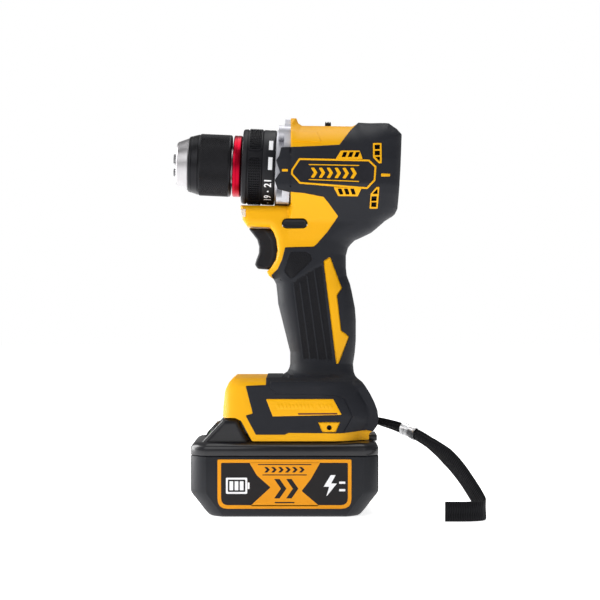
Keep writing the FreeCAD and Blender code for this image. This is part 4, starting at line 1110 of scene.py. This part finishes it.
def collar_pad():
    """The four raised rims, each a rounded frame bent round the collar."""
    vertices, faces = [], []
    for start in PAD_STARTS:
        half_u, half_a, corner = 4.35, PAD_SPAN / 2 * PAD_RADIUS, 2.6
        outline = rounded([(-half_u, -half_a), (half_u, -half_a), (half_u, half_a), (-half_u, half_a)],
                          corner)
        outline = spaced(outline, 1.0)
        inner = shrunk(outline, 0.75)
        rows = [(outline, 23.15), (outline, 23.85), (shrunk(outline, 0.15), 24.0),
                (shrunk(outline, 0.6), 24.0), (inner, 23.85), (inner, 23.15)]
        first = len(vertices)
        count = len(outline)
        for loop, radius in rows:
            for u, arc in loop:
                vertices.append(head_place(PAD_STATION + u, radius, start + PAD_SPAN / 2 + arc / PAD_RADIUS))
        for i in range(len(rows)):
            following = (i + 1) % len(rows)
            for k in range(count):
                nxt = (k + 1) % count
                faces.append((first + i * count + k, first + following * count + k,
                              first + following * count + nxt, first + i * count + nxt))
    return vertices, faces


pad_rims = make_object("torque_collar_rims", *collar_pad(), [collar_material], 30.0)
pad_rims.data.flip_normals()
place_piece(pad_rims, "torque_collar", "black_plastic")

studs = Recipe("grip_studs", Columns=19, Rows=6, Radius=23.5 * MM, First=-22.1 * MM, Length=6.4 * MM,
               Stud=0.62 * MM, Height=0.8 * MM)
stud_grid = studs.node("GeometryNodeMeshGrid", Size_X=1.0, Size_Y=1.0,
                       Vertices_X=studs.math("MULTIPLY", studs.input("Columns"), 4.0),
                       Vertices_Y=studs.input("Rows"))
stud_index = studs.node("GeometryNodeInputIndex")
stud_column = studs.math("FLOOR", studs.math("DIVIDE", stud_index, studs.input("Rows")))
stud_row = studs.math("SUBTRACT", stud_index, studs.math("MULTIPLY", stud_column, studs.input("Rows")))
pad_number = studs.math("FLOOR", studs.math("DIVIDE", stud_column, studs.input("Columns")))
in_pad = studs.math("SUBTRACT", stud_column, studs.math("MULTIPLY", pad_number, studs.input("Columns")))
stud_turn = studs.math("ADD", studs.math("MULTIPLY", pad_number, math.pi / 2), PAD_STARTS[0] + 0.075)
pitch_turn = studs.math("DIVIDE", PAD_SPAN - 0.15, studs.math("SUBTRACT", studs.input("Columns"), 1.0))
stud_turn = studs.math("ADD", stud_turn, studs.math("MULTIPLY", in_pad, pitch_turn))
stud_along = studs.math("DIVIDE", stud_row, studs.math("SUBTRACT", studs.input("Rows"), 1.0))
stud_along = studs.math("ADD", studs.math("MULTIPLY", stud_along, studs.input("Length")),
                        studs.input("First"))
stud_sine = studs.math("SINE", stud_turn)
stud_cosine = studs.math("MULTIPLY", studs.math("COSINE", stud_turn), -1.0)
stud_out = studs.node("ShaderNodeCombineXYZ", X=0.0, Y=stud_cosine, Z=stud_sine)
stud_place = studs.node("ShaderNodeCombineXYZ", X=stud_along,
                        Y=studs.math("MULTIPLY", stud_cosine, studs.input("Radius")),
                        Z=studs.math("MULTIPLY", stud_sine, studs.input("Radius")))
stud_points = studs.node("GeometryNodeSetPosition", Geometry=stud_grid, Position=stud_place)
stud_shape = studs.node("GeometryNodeMeshCone", Vertices=4,
                        Radius_Top=studs.math("MULTIPLY", studs.input("Stud"), 0.7),
                        Radius_Bottom=studs.input("Stud"), Depth=studs.input("Height"))
stud_rotation = studs.node("FunctionNodeAlignRotationToVector", {"axis": "Z"}, Vector=stud_out)
stud_instances = studs.node("GeometryNodeInstanceOnPoints", Points=stud_points, Instance=stud_shape,
                            Rotation=stud_rotation)
stud_piece = studs.build("torque_collar_studs", studs.to_head(stud_instances), collar_material)
place_piece(stud_piece, "torque_collar", "black_plastic")


def text_shape(words, size):
    """Flat letters as vertices and triangles, centred, in millimetres."""
    curve = bpy.data.curves.new("digits", "FONT")
    curve.body = words
    curve.size = size
    curve.align_x = "CENTER"
    curve.align_y = "CENTER"
    curve.resolution_u = 3
    curve.offset = 0.12
    holder = bpy.data.objects.new("digits", curve)
    bpy.context.collection.objects.link(holder)
    mesh = bpy.data.meshes.new_from_object(holder.evaluated_get(bpy.context.evaluated_depsgraph_get()))
    bpy.data.objects.remove(holder)
    bm = bmesh.new()
    bm.from_mesh(mesh)
    bmesh.ops.triangulate(bm, faces=bm.faces)
    bmesh.ops.subdivide_edges(bm, edges=[e for e in bm.edges if e.calc_length() > 0.9], cuts=1)
    bmesh.ops.triangulate(bm, faces=bm.faces)
    vertices = [tuple(v.co) for v in bm.verts]
    faces = [tuple(v.index for v in f.verts) for f in bm.faces]
    bm.free()
    return np.array(vertices), faces


def collar_print():
    """The printed marks: figures with their tops towards the chuck, read upwards on the left side."""
    vertices, faces = [], []

    def lay(shape, shape_faces, turn):
        first = len(vertices)
        for x, y, _ in shape:
            vertices.append(head_place(PRINT_STATION - y, PRINT_RADIUS + 0.06, turn + x / PRINT_RADIUS))
        faces.extend([tuple(first + i for i in face) for face in shape_faces])

    for step in range(11):
        turn = math.radians(32 - 30 * step)
        if step < 2:
            wide = 3.6 if step == 0 else 4.0
            shape = [(x, y, 0) for x in np.linspace(-wide, wide, 7) for y in (-2.2, 0.4)]
            lay(shape, [(2 * i, 2 * i + 2, 2 * i + 3, 2 * i + 1) for i in range(6)], turn)
        else:
            lay(*text_shape(str(25 - 2 * step), 6.2), turn)
        dot = [(0, 0, 0)] + [(0.62 * math.cos(a), 0.62 * math.sin(a), 0)
                             for a in np.linspace(0, 2 * math.pi, 17)[:-1]]
        if step >= 2:
            lay(dot, [(0, 1 + i, 1 + (i + 1) % 16) for i in range(16)], turn - math.radians(15))
    return vertices, faces


printed = make_object("torque_collar_print", *collar_print(), [print_material], 30.0)
print_fix = bmesh.new()
print_fix.from_mesh(printed.data)
for face in print_fix.faces:
    centre = face.calc_center_median()
    across = centre - Vector((centre.x, 0.0, HEAD_HEIGHT * MM - centre.x * math.tan(HEAD_TILT)))
    if face.normal.dot(across) < 0:
        face.normal_flip()
print_fix.to_mesh(printed.data)
print_fix.free()
place_piece(printed, "torque_collar", "black_plastic")

# ---- Battery pack -------------------------------------------------------------------------
# A slide-on pack: a satin charcoal tub with sloping ends below, and a glossy near-black lid above the
# seam. The lid carries a sloping nose with the release latch, and the rails that slide into the foot.
PACK_HALF = (58.6, 37.5)


def ring_at(half_x, half_y, corner, z, steps=9):
    """A ring round the pack at a height, counter-clockwise from above, with slightly bowed corner faces."""
    points = []
    for sx, sy, start in ((1, 1, 0), (-1, 1, 90), (-1, -1, 180), (1, -1, 270)):
        first, last = math.radians(start), math.radians(start + 90)
        for i in range(steps):
            share = i / (steps - 1)
            a = first + (last - first) * share
            across = 0.4 * math.cos(a) + 0.6 * (math.cos(first) * (1 - share) + math.cos(last) * share)
            along = 0.4 * math.sin(a) + 0.6 * (math.sin(first) * (1 - share) + math.sin(last) * share)
            points.append((sx * (half_x - corner) + corner * across,
                           sy * (half_y - corner) + corner * along, z))
    return points


def stacked(name, rings, material, angle=32.0):
    """A closed piece through rings from the outside bottom, over the top and down the inside."""
    count = len(rings[0])
    vertices = [np.array(point) * MM for one in rings for point in one]
    return make_object(name, vertices, ring_faces(len(rings), count), [material], angle)


tub_material = plastic("pack_charcoal", (0.006, 0.007, 0.010, 1), (0.010, 0.011, 0.015, 1), 0.42, 0.12, 80.0,
                       2600.0, 0.00007, Specular_IOR_Level=0.3)
lid_material = plastic("pack_gloss", (0.005, 0.005, 0.007, 1), (0.010, 0.010, 0.013, 1), 0.26, 0.08, 90.0,
                       depth=0.00006, Coat_Weight=0.25, Coat_Roughness=0.15, Specular_IOR_Level=0.3)

tub_rings = []
for z, half_x, half_y in ((0.0, 44.9, 33.4), (0.15, 45.7, 34.6), (0.7, 46.7, 35.9), (1.6, 47.7, 36.9),
                          (3.0, 48.9, 37.4), (4.2, 49.9, 37.5), (14.0, 57.8, 37.5), (15.2, 58.4, 37.5),
                          (16.6, 58.6, 37.5),
                          (36.9, 58.6, 37.5), (37.3, 58.5, 37.4), (37.6, 58.1, 37.0), (37.6, 56.4, 35.3),
                          (16.0, 56.1, 35.0),
                          (4.6, 47.6, 35.0), (2.5, 46.5, 33.5)):
    tub_rings.append(ring_at(half_x, half_y,
                             max(10.0 - (37.5 - half_y) * 0.6 - (58.6 - half_x) * 0.06, 5.0), z))
tub = stacked("battery_tub", tub_rings, tub_material, 21.0)
place_piece(tub, "battery", "pack_charcoal", "battery_base")

lid_rings = []
for z, drop in ((37.8, 1.6), (37.8, 0.5), (38.1, 0.15), (38.5, 0.0), (42.2, 0.0), (43.4, 0.35), (44.5, 1.2),
                (45.4, 2.5), (46.0, 4.2), (46.2, 6.4)):
    lid_rings.append(ring_at(PACK_HALF[0] - drop, PACK_HALF[1] - drop, 10.0 - drop * 0.5, z))
lid_rings += [ring_at(52.0, 31.0, 9.6, 46.2), ring_at(20.0, 10.0, 4.0, 46.2)]
lid = stacked("battery_lid", lid_rings, lid_material)
place_piece(lid, "battery", "gloss_black", "battery_top")

NOSE_OUTLINE = [(-58.4, 39.0), (-57.9, 40.8), (-54.4, 43.1), (-38.2, 60.3), (-29.3, 60.3), (-21.9, 46.2),
                (-21.9, 39.0)]
nose_loop = rounded(NOSE_OUTLINE, 2.2)


def nose_side(points):
    return 30.0 - fall(loop_distance(points, nose_loop), 2.6) - fall(points[:, 0] + 58.6, 7.0)


SLOPE_FOOT = np.array([-54.4, 43.1])
SLOPE_ANGLE = math.atan2(17.2, 16.2)
SLOPE_TURN = np.array([[math.cos(SLOPE_ANGLE), math.sin(SLOPE_ANGLE)],
                       [-math.sin(SLOPE_ANGLE), math.cos(SLOPE_ANGLE)]])
latch_pocket = SLOPE_FOOT + np.array([(5.5, -8.2), (18.5, -8.2), (18.5, 2.0), (5.5, 2.0)]) @ SLOPE_TURN


def nose_back(points, outer):
    """Solid to the middle, but for the pocket the latch paddle moves in."""
    return np.where(loop_distance(points, latch_pocket) > 0, 13.2, 0.0)


nose_mesh = side_piece(nose_loop, nose_side, nose_back, [], [latch_pocket])
both_sides("battery_nose", "battery", "gloss_black", lid_material, *nose_mesh)


def boxes_mesh(name, boxes, material, edge=0.4):
    """Several bevelled blocks as one mesh; each box is (x0, x1, y0, y1, z0, z1) in mm."""
    bm = bmesh.new()
    for x0, x1, y0, y1, z0, z1 in boxes:
        made = bmesh.ops.create_cube(bm, size=1.0)["verts"]
        for v in made:
            v.co = Vector(((x0 + x1) / 2 + v.co.x * (x1 - x0), (y0 + y1) / 2 + v.co.y * (y1 - y0),
                           (z0 + z1) / 2 + v.co.z * (z1 - z0))) * MM
        edges = list({e for v in made for e in v.link_edges})
        bmesh.ops.bevel(bm, geom=edges, offset=edge * MM, segments=2, affect="EDGES", profile=0.7)
    mesh = bpy.data.meshes.new(name)
    bm.to_mesh(mesh)
    bm.free()
    mesh.materials.append(material)
    mesh.polygons.foreach_set("use_smooth", np.ones(len(mesh.polygons), bool))
    mesh.set_sharp_from_angle(angle=math.radians(35))
    piece = bpy.data.objects.new(name, mesh)
    bpy.context.collection.objects.link(piece)
    return piece


rail_boxes = [(-31.8, 50.0, -22.0, 22.0, 45.0, 51.6), (-33.8, 27.8, -26.0, 26.0, 51.0, 59.8),
              (28.0, 43.5, -26.0, -17.4, 51.0, 59.8),
              (28.0, 43.5, 17.4, 26.0, 51.0, 59.8), (53.2, 58.2, -15.6, 15.6, 45.6, 49.2)]
for y in (-12.0, -4.0, 4.0, 12.0):
    rail_boxes.append((27.6, 49.9, y - 2.6, y + 2.6, 51.2, 59.8))
rails = boxes_mesh("battery_rails", rail_boxes, lid_material)
place_piece(rails, "battery", "gloss_black")
contact_look = Look("contact_brass", Metallic=1.0)
contact_cloud = contact_look.noise(contact_look.place(), 600.0, 3.0)
contact_material = contact_look.finish(contact_look.mix(contact_cloud, (0.55, 0.36, 0.14, 1),
                                                        (0.75, 0.55, 0.26, 1)), contact_cloud * 0.2 + 0.25)
contact_boxes = []
for y in (-16.0, -8.0, 0.0, 8.0, 16.0):
    contact_boxes += [(30.0, 46.0, y - 1.25, y - 0.85, 51.7, 58.0),
                      (30.0, 46.0, y + 0.85, y + 1.25, 51.7, 58.0)]
contacts = boxes_mesh("battery_contacts", contact_boxes, contact_material, 0.08)
place_piece(contacts, "battery", "gloss_black")


def on_slope(piece):
    """Lay a piece built flat, x up the slope, on the nose's slope. The mesh itself is moved."""
    foot = Vector((SLOPE_FOOT[0], 0.0, SLOPE_FOOT[1])) * MM
    piece.data.transform(Matrix.Translation(foot) @ Matrix.Rotation(-SLOPE_ANGLE, 4, "Y"))
    return piece


latch_boxes = [(6.1, 17.9, -13.0, 13.0, -4.4, 0.6)]
for k in range(6):
    latch_boxes.append((8.2 + 1.6 * k, 9.1 + 1.6 * k, -10.5, 10.5, 0.2, 1.15))
latch = on_slope(boxes_mesh("battery_latch_paddle", latch_boxes, tub_material, 0.3))
place_piece(latch, "battery_latch", "black_plastic", "battery_latch")


GAUGE_MIDDLE = (15.0, -21.0)
GAUGE_AROUND = 40


def gauge_cap():
    """A low round button with a dished top, built flat."""
    vertices = []
    rows = [(2.95, -3.2), (2.95, 0.3), (2.75, 0.55), (2.4, 0.66), (1.2, 0.45), (0.3, 0.38)]
    for radius, height in rows:
        vertices += [np.array([GAUGE_MIDDLE[0] + radius * math.cos(a),
                               GAUGE_MIDDLE[1] + radius * math.sin(a), height]) * MM
                     for a in np.linspace(0, 2 * math.pi, GAUGE_AROUND + 1)[:-1]]
    return vertices, ring_faces(len(rows), GAUGE_AROUND)


gauge = on_slope(make_object("charge_gauge_button", *gauge_cap(), [tub_material], 35.0))
place_piece(gauge, "gauge_button", "black_plastic", "gauge_button")
lamp_look = Look("gauge_lamps", Roughness=0.2)
lamp_cloud = lamp_look.noise(lamp_look.place(), 900.0)
lamp_material = lamp_look.finish(lamp_look.mix(lamp_cloud, (0.10, 0.20, 0.08, 1), (0.16, 0.30, 0.12, 1)))
gauge_boxes = [(10.2, 11.6, -25.2 + 2.4 * k, -23.6 + 2.4 * k, -0.6, 0.18) for k in range(4)]
gauge_lamps = on_slope(boxes_mesh("charge_gauge_lamps", gauge_boxes, lamp_material, 0.12))
place_piece(gauge_lamps, "battery", "gloss_black")

# ---- Pack label ---------------------------------------------------------------------------
# A printed film on each side of the pack: an orange frame, a dark field, an orange shape in the middle
# and white signs for charge and voltage. All the signs are plain generic shapes.
LABEL = [(-41.4, 35.8), (-41.4, 5.4), (41.4, 5.4), (41.4, 35.8)]
LABEL_FACE = 37.9


def label_loop(loop, low_radius=6.2, high_radius=0.8):
    """A closed loop whose two lower corners are rounder than the upper ones."""
    middle = np.array(loop, float)[:, 1].mean()
    lower = [p for p in rounded(loop, low_radius) if p[1] < middle]
    upper = [p for p in rounded(loop, high_radius) if p[1] >= middle]
    kept = np.array(lower + upper)
    centre = kept.mean(axis=0)
    order = np.argsort(np.arctan2(kept[:, 1] - centre[1], kept[:, 0] - centre[0]))
    return kept[order]


def printed_layer(name, outline, holes, lift, material, deep=0.35, node=("", "")):
    mesh = side_piece(outline, lambda points: np.full(len(points), LABEL_FACE + lift),
                      lambda points, outer: outer - deep, holes, rings=(), grid=6.0, step=2.0)
    return both_sides(name, "battery", "label_film", material, *mesh, nodes=node)


film_material = plastic("label_orange", (0.72, 0.275, 0.003, 1), (0.79, 0.31, 0.006, 1), 0.36, 0.1, 150.0,
                        depth=None, Specular_IOR_Level=0.2)
field_material = plastic("label_dark", (0.007, 0.006, 0.007, 1), (0.013, 0.011, 0.012, 1), 0.36, 0.1, 150.0,
                         depth=None, Specular_IOR_Level=0.2)
label_outer = label_loop(LABEL)
label_inner = label_loop([(-39.2, 33.8), (-39.2, 7.6), (39.2, 7.6), (39.2, 33.8)], 4.4)
printed_layer("label_frame", label_outer, [label_inner], 0.0, film_material, 0.4, ("battery_label", ""))
printed_layer("label_field", shrunk(label_inner, -0.05), [], -0.06, field_material, 0.34)
CENTRE = [(-21.8, 34.0), (-17.0, 26.0), (-8.6, 18.6), (-21.2, 7.0), (21.6, 7.0), (10.6, 16.4), (16.2, 23.6),
          (22.2, 34.0)]
printed_layer("label_centre", rounded(CENTRE, 0.6), [], 0.0, film_material, 0.4)
DARK_MARKS = [[(-16.4, 33.0), (-16.4, 32.4), (16.6, 32.4), (16.6, 33.0)],
              [(-13.6, 26.6), (-13.6, 26.0), (13.8, 26.0), (13.8, 26.6)],
              [(-6.0, 9.6), (-6.0, 8.8), (6.2, 8.8), (6.2, 9.6)]]
for k in range(6):
    x = -12.6 + 4.3 * k
    DARK_MARKS.append([(x, 31.2), (x + 1.7, 29.5), (x, 27.8), (x + 1.9, 27.8), (x + 3.6, 29.5),
                       (x + 1.9, 31.2)])
for k in range(2):
    x = -6.4 + 7.4 * k
    DARK_MARKS.append([(x, 23.8), (x + 4.2, 17.8), (x, 11.8), (x + 3.4, 11.8), (x + 7.6, 17.8),
                       (x + 3.4, 23.8)])
for number, mark in enumerate(DARK_MARKS):
    printed_layer("label_mark_%d" % number, rounded(mark, 0.2), [], 0.03, field_material, 0.4)
# a battery sign on the left: an outline with three bars; a lightning sign on the right with level bars
cell_outline = rounded([(-36.2, 24.6), (-36.2, 14.6), (-23.0, 14.6), (-23.0, 24.6)], 0.8)
cell_hollow = rounded([(-35.0, 23.4), (-35.0, 15.8), (-24.2, 15.8), (-24.2, 23.4)], 0.5)
printed_layer("label_cell", cell_outline, [cell_hollow], 0.02, print_material, 0.4)
printed_layer("label_cell_tip", rounded([(-22.8, 21.6), (-22.8, 17.6), (-21.6, 17.6), (-21.6, 21.6)], 0.3),
              [], 0.02, print_material, 0.4)
for k in range(3):
    x = -34.0 + 3.2 * k
    level = [(x, 22.4), (x, 16.8), (x + 2.3, 16.8), (x + 2.3, 22.4)]
    printed_layer("label_level_%d" % k, rounded(level, 0.3), [], 0.02, print_material, 0.4)
bolt = [(28.6, 26.2), (24.2, 19.0), (27.6, 19.0), (25.8, 12.8), (32.4, 21.0), (28.8, 21.0), (31.6, 26.2)]
printed_layer("label_bolt", rounded(bolt, 0.2), [], 0.02, print_material, 0.4)
for k in range(2):
    bar = [(33.8, 20.8 - 4.6 * k), (37.6, 20.8 - 4.6 * k), (37.6, 22.2 - 4.6 * k), (33.8, 22.2 - 4.6 * k)]
    printed_layer("label_bar_%d" % k, rounded(bar, 0.3), [], 0.02, print_material, 0.4)

# ---- Trigger, direction button and gear selector ------------------------------------------
# The trigger is moulded black nylon with a hollow for the fingertip; the direction button goes right
# through the case and shows on both sides; the selector is a ridged knob in a sunk slide on the roof.
# Dark sheets stand behind the air slots as painted shade, where the inside of the case lies in shadow.
control_material = plastic("control_nylon", (0.004, 0.004, 0.006, 1), (0.008, 0.008, 0.011, 1), 0.38, 0.15,
                           140.0, 2800.0, 0.00007, Specular_IOR_Level=0.25)
TRIGGER = [
    (-23.5, 180.3), (-20.5, 176.6), (-17.6, 172.8), (-16.4, 168.3), (-16.6, 164.2), (-18.2, 160.0),
    (-19.1, 156.8), (-17.3, 154.3), (-10.4, 153.8), (-5.5, 154.2), (-3.2, 158.0), (-3.0, 176.0),
    (-5.0, 179.5),
]
trigger_loop = rounded(TRIGGER, 1.6)
trigger_panel = rounded([(-20.0, 178.6), (-12.4, 178.6), (-8.4, 172.0), (-7.6, 164.0), (-9.6, 157.4),
                         (-13.0, 155.4), (-17.4, 156.4), (-14.6, 165.6), (-15.6, 172.4)], 1.2)


def trigger_side(points):
    return 8.9 - fall(loop_distance(points, trigger_loop), 2.6) - plateau(points, trigger_panel, 0.35, 0.6)


spring_pocket = np.array([(-12.0, 161.8), (2.0, 161.8), (2.0, 172.2), (-12.0, 172.2)])


def trigger_back(points, outer):
    """Solid to the middle, but for the pocket that takes the return spring."""
    return np.where(loop_distance(points, spring_pocket) > 0, 5.2, 0.0)


trigger_mesh = side_piece(trigger_loop, trigger_side, trigger_back, [],
                          [trigger_panel, spring_pocket[[0, 3, 2, 1]]])
both_sides("trigger_half", "trigger", "black_plastic", control_material, *trigger_mesh,
           nodes=("trigger", ""))

button_face = stadium_loop(-1.5, 14.0, 179.8, 185.4)
button_dish = shrunk(button_face, 1.0)


def button_side(points):
    return 18.7 - fall(loop_distance(points, button_face), 0.6) - plateau(points, button_dish, 0.35, 0.6)


def to_the_middle(points, outer):
    return np.zeros(len(points))


button_mesh = side_piece(button_face, button_side, to_the_middle, [], [button_dish], grid=1.0,
                         rings=(0.05, 0.15, 0.35, 0.6), step=0.7)
both_sides("direction_button_half", "direction_button", "black_plastic", control_material, *button_mesh,
           nodes=("direction_button", ""))
selector_boxes = [(19.6, 32.9, -5.9, 5.9, 242.5, 243.3), (25.6, 29.4, -3.1, 3.1, 243.0, 247.4)]
for k in range(4):
    selector_boxes.append((25.75 + 0.95 * k, 26.3 + 0.95 * k, -3.1, 3.1, 247.0, 248.1))
selector = boxes_mesh("gear_selector_knob", selector_boxes, control_material, 0.18)
place_piece(selector, "gear_selector", "black_plastic", "gear_selector")
# painted shade: thin dark sheets behind the vent slots, where there is only the shadowed inside of the case
shade_sheet_boxes = [(32.0, 61.0, y, y + 0.7, 197.8, 233.0) for y in (-25.6, 24.9)]
shade_sheet_boxes += [(51.5, 60.5, y, y + 0.7, 190.8, 200.0) for y in (-20.4, 19.7)]
shade_sheets = boxes_mesh("vent_painted_shade_sheets", shade_sheet_boxes, control_material, 0.1)
place_piece(shade_sheets, "drill_body", "black_plastic")

# ---- Lamp ---------------------------------------------------------------------------------
# A frosted lens lies right across the nose under the chuck; the small lamp behind it is not drawn.
lens_look = Look("frosted_lens", Transmission_Weight=0.35, IOR=1.49)
lens_cloud = lens_look.noise(lens_look.place((1.0, 0.3, 1.0)), 600.0, 3.0)
lens_tint = lens_look.mix(lens_cloud, (0.86, 0.80, 0.66, 1), (0.97, 0.94, 0.86, 1))
lens_material = lens_look.finish(lens_tint, lens_cloud * 0.2 + 0.25, height=lens_cloud, depth=0.0001)
lens_loop = rounded([(-28.0, 191.8), (-27.1, 186.8), (-24.6, 186.8), (-24.6, 191.8)], 0.6)


def lens_side(points):
    return 17.75 - fall(loop_distance(points, lens_loop), 0.5)


lens_mesh = side_piece(lens_loop, lens_side, to_the_middle, grid=0.9, rings=(0.05, 0.2, 0.45), step=0.7)
both_sides("lamp_lens_half", "drill_body", "clear_lens", lens_material, *lens_mesh, nodes=("lamp_lens", ""))

# ---- Gear case and the parts inside -------------------------------------------------------
# The gear case is die-cast aluminium, bead blasted; its screws are blackened. Gears are sintered steel,
# the motor has varnished laminations and copper coils, and a green board feeds the switch.
def grained_metal(name, dark, light, rough, scale=700.0, depth=0.0001):
    look = Look(name, Metallic=1.0)
    grain = look.noise(look.place(), scale, 4.0, 0.6)
    cloud = look.noise(look.place(), 70.0, 3.0)
    tint = look.mix(grain * 0.5 + cloud * 0.5, dark, light)
    return look.finish(tint, cloud * 0.18 + rough, height=grain, depth=depth)


cast_material = grained_metal("cast_aluminium", (0.40, 0.40, 0.43, 1), (0.62, 0.62, 0.66, 1), 0.42, 1500.0)
repaint("gear_case", cast_material)
screw_material = grained_metal("black_screws", (0.03, 0.03, 0.03, 1), (0.08, 0.08, 0.08, 1), 0.3)
for node in ("gear_case_screws", "housing_screws", "battery_screws", "clutch_spring", "trigger_spring"):
    repaint(node, screw_material)
gear_material = grained_metal("sintered_steel", (0.20, 0.20, 0.21, 1), (0.36, 0.36, 0.37, 1), 0.34)
for node in ("ring_gear_front", "ring_gear_rear", "carrier_front", "carrier_rear", "chuck_nut",
             "clutch_nut"):
    repaint(node, gear_material)
for stage in ("front", "rear"):
    for number in (1, 2, 3):
        repaint("planet_%s_%d" % (stage, number), gear_material)
ground_material = turned_metal("ground_steel", (0.40, 0.40, 0.41, 1), (0.62, 0.62, 0.62, 1), 0.2)
for node in ("spindle", "spindle_bearing", "motor_bearings", "rotor_shaft", "motor_plate",
             "belt_hook_inserts"):
    repaint(node, ground_material)
iron_look = Look("laminations", Metallic=0.8)
SHEET_PITCH = 0.5 * MM
sheets = iron_look.math("SINE", head_coordinates(iron_look)[0] * (2 * math.pi / SHEET_PITCH))
iron_cloud = iron_look.noise(iron_look.place(), 200.0, 3.0)
iron_material = iron_look.finish(iron_look.mix(iron_look.ease(sheets, -0.6, 0.6), (0.05, 0.05, 0.055, 1),
                                               (0.16, 0.16, 0.17, 1)),
                                 iron_cloud * 0.2 + 0.35, height=sheets, depth=0.0001)
for node in ("motor_stator", "rotor_magnets"):
    repaint(node, iron_material)
copper_look = Look("enamelled_copper", Metallic=1.0)
WIRE_PITCH = 0.6 * MM
strands = copper_look.math("SINE", head_coordinates(copper_look)[2] * (2 * math.pi / WIRE_PITCH))
copper_cloud = copper_look.noise(copper_look.place(), 300.0, 3.0)
copper_material = copper_look.finish(copper_look.mix(copper_look.ease(strands, -0.8, 0.8),
                                                     (0.22, 0.06, 0.02, 1), (0.62, 0.24, 0.09, 1)),
                                     copper_cloud * 0.2 + 0.28, height=strands, depth=0.0002)
repaint("motor_windings", copper_material)
board_look = Look("circuit_board")
board_spot = board_look.place()
board_tone = board_look.noise(board_spot, 120.0, 2.0)
board_material = board_look.finish(board_look.mix(board_look.ease(board_tone, 0.3, 0.7),
                                                  (0.004, 0.06, 0.02, 1), (0.010, 0.12, 0.045, 1)),
                                   board_tone * 0.2 + 0.3, height=board_tone, depth=0.0001)
for node in ("control_board", "battery_board"):
    repaint(node, board_material)
wrap_material = plastic("cell_wrap", (0.02, 0.09, 0.30, 1), (0.03, 0.14, 0.42, 1), 0.22)
repaint("battery_cells", wrap_material)
inner_material = plastic("inner_nylon", (0.012, 0.012, 0.014, 1), (0.022, 0.022, 0.025, 1), 0.45)
for node in ("switch_body", "cooling_fan", "terminal_block", "cell_holder", "strap_eyelet"):
    repaint(node, inner_material)
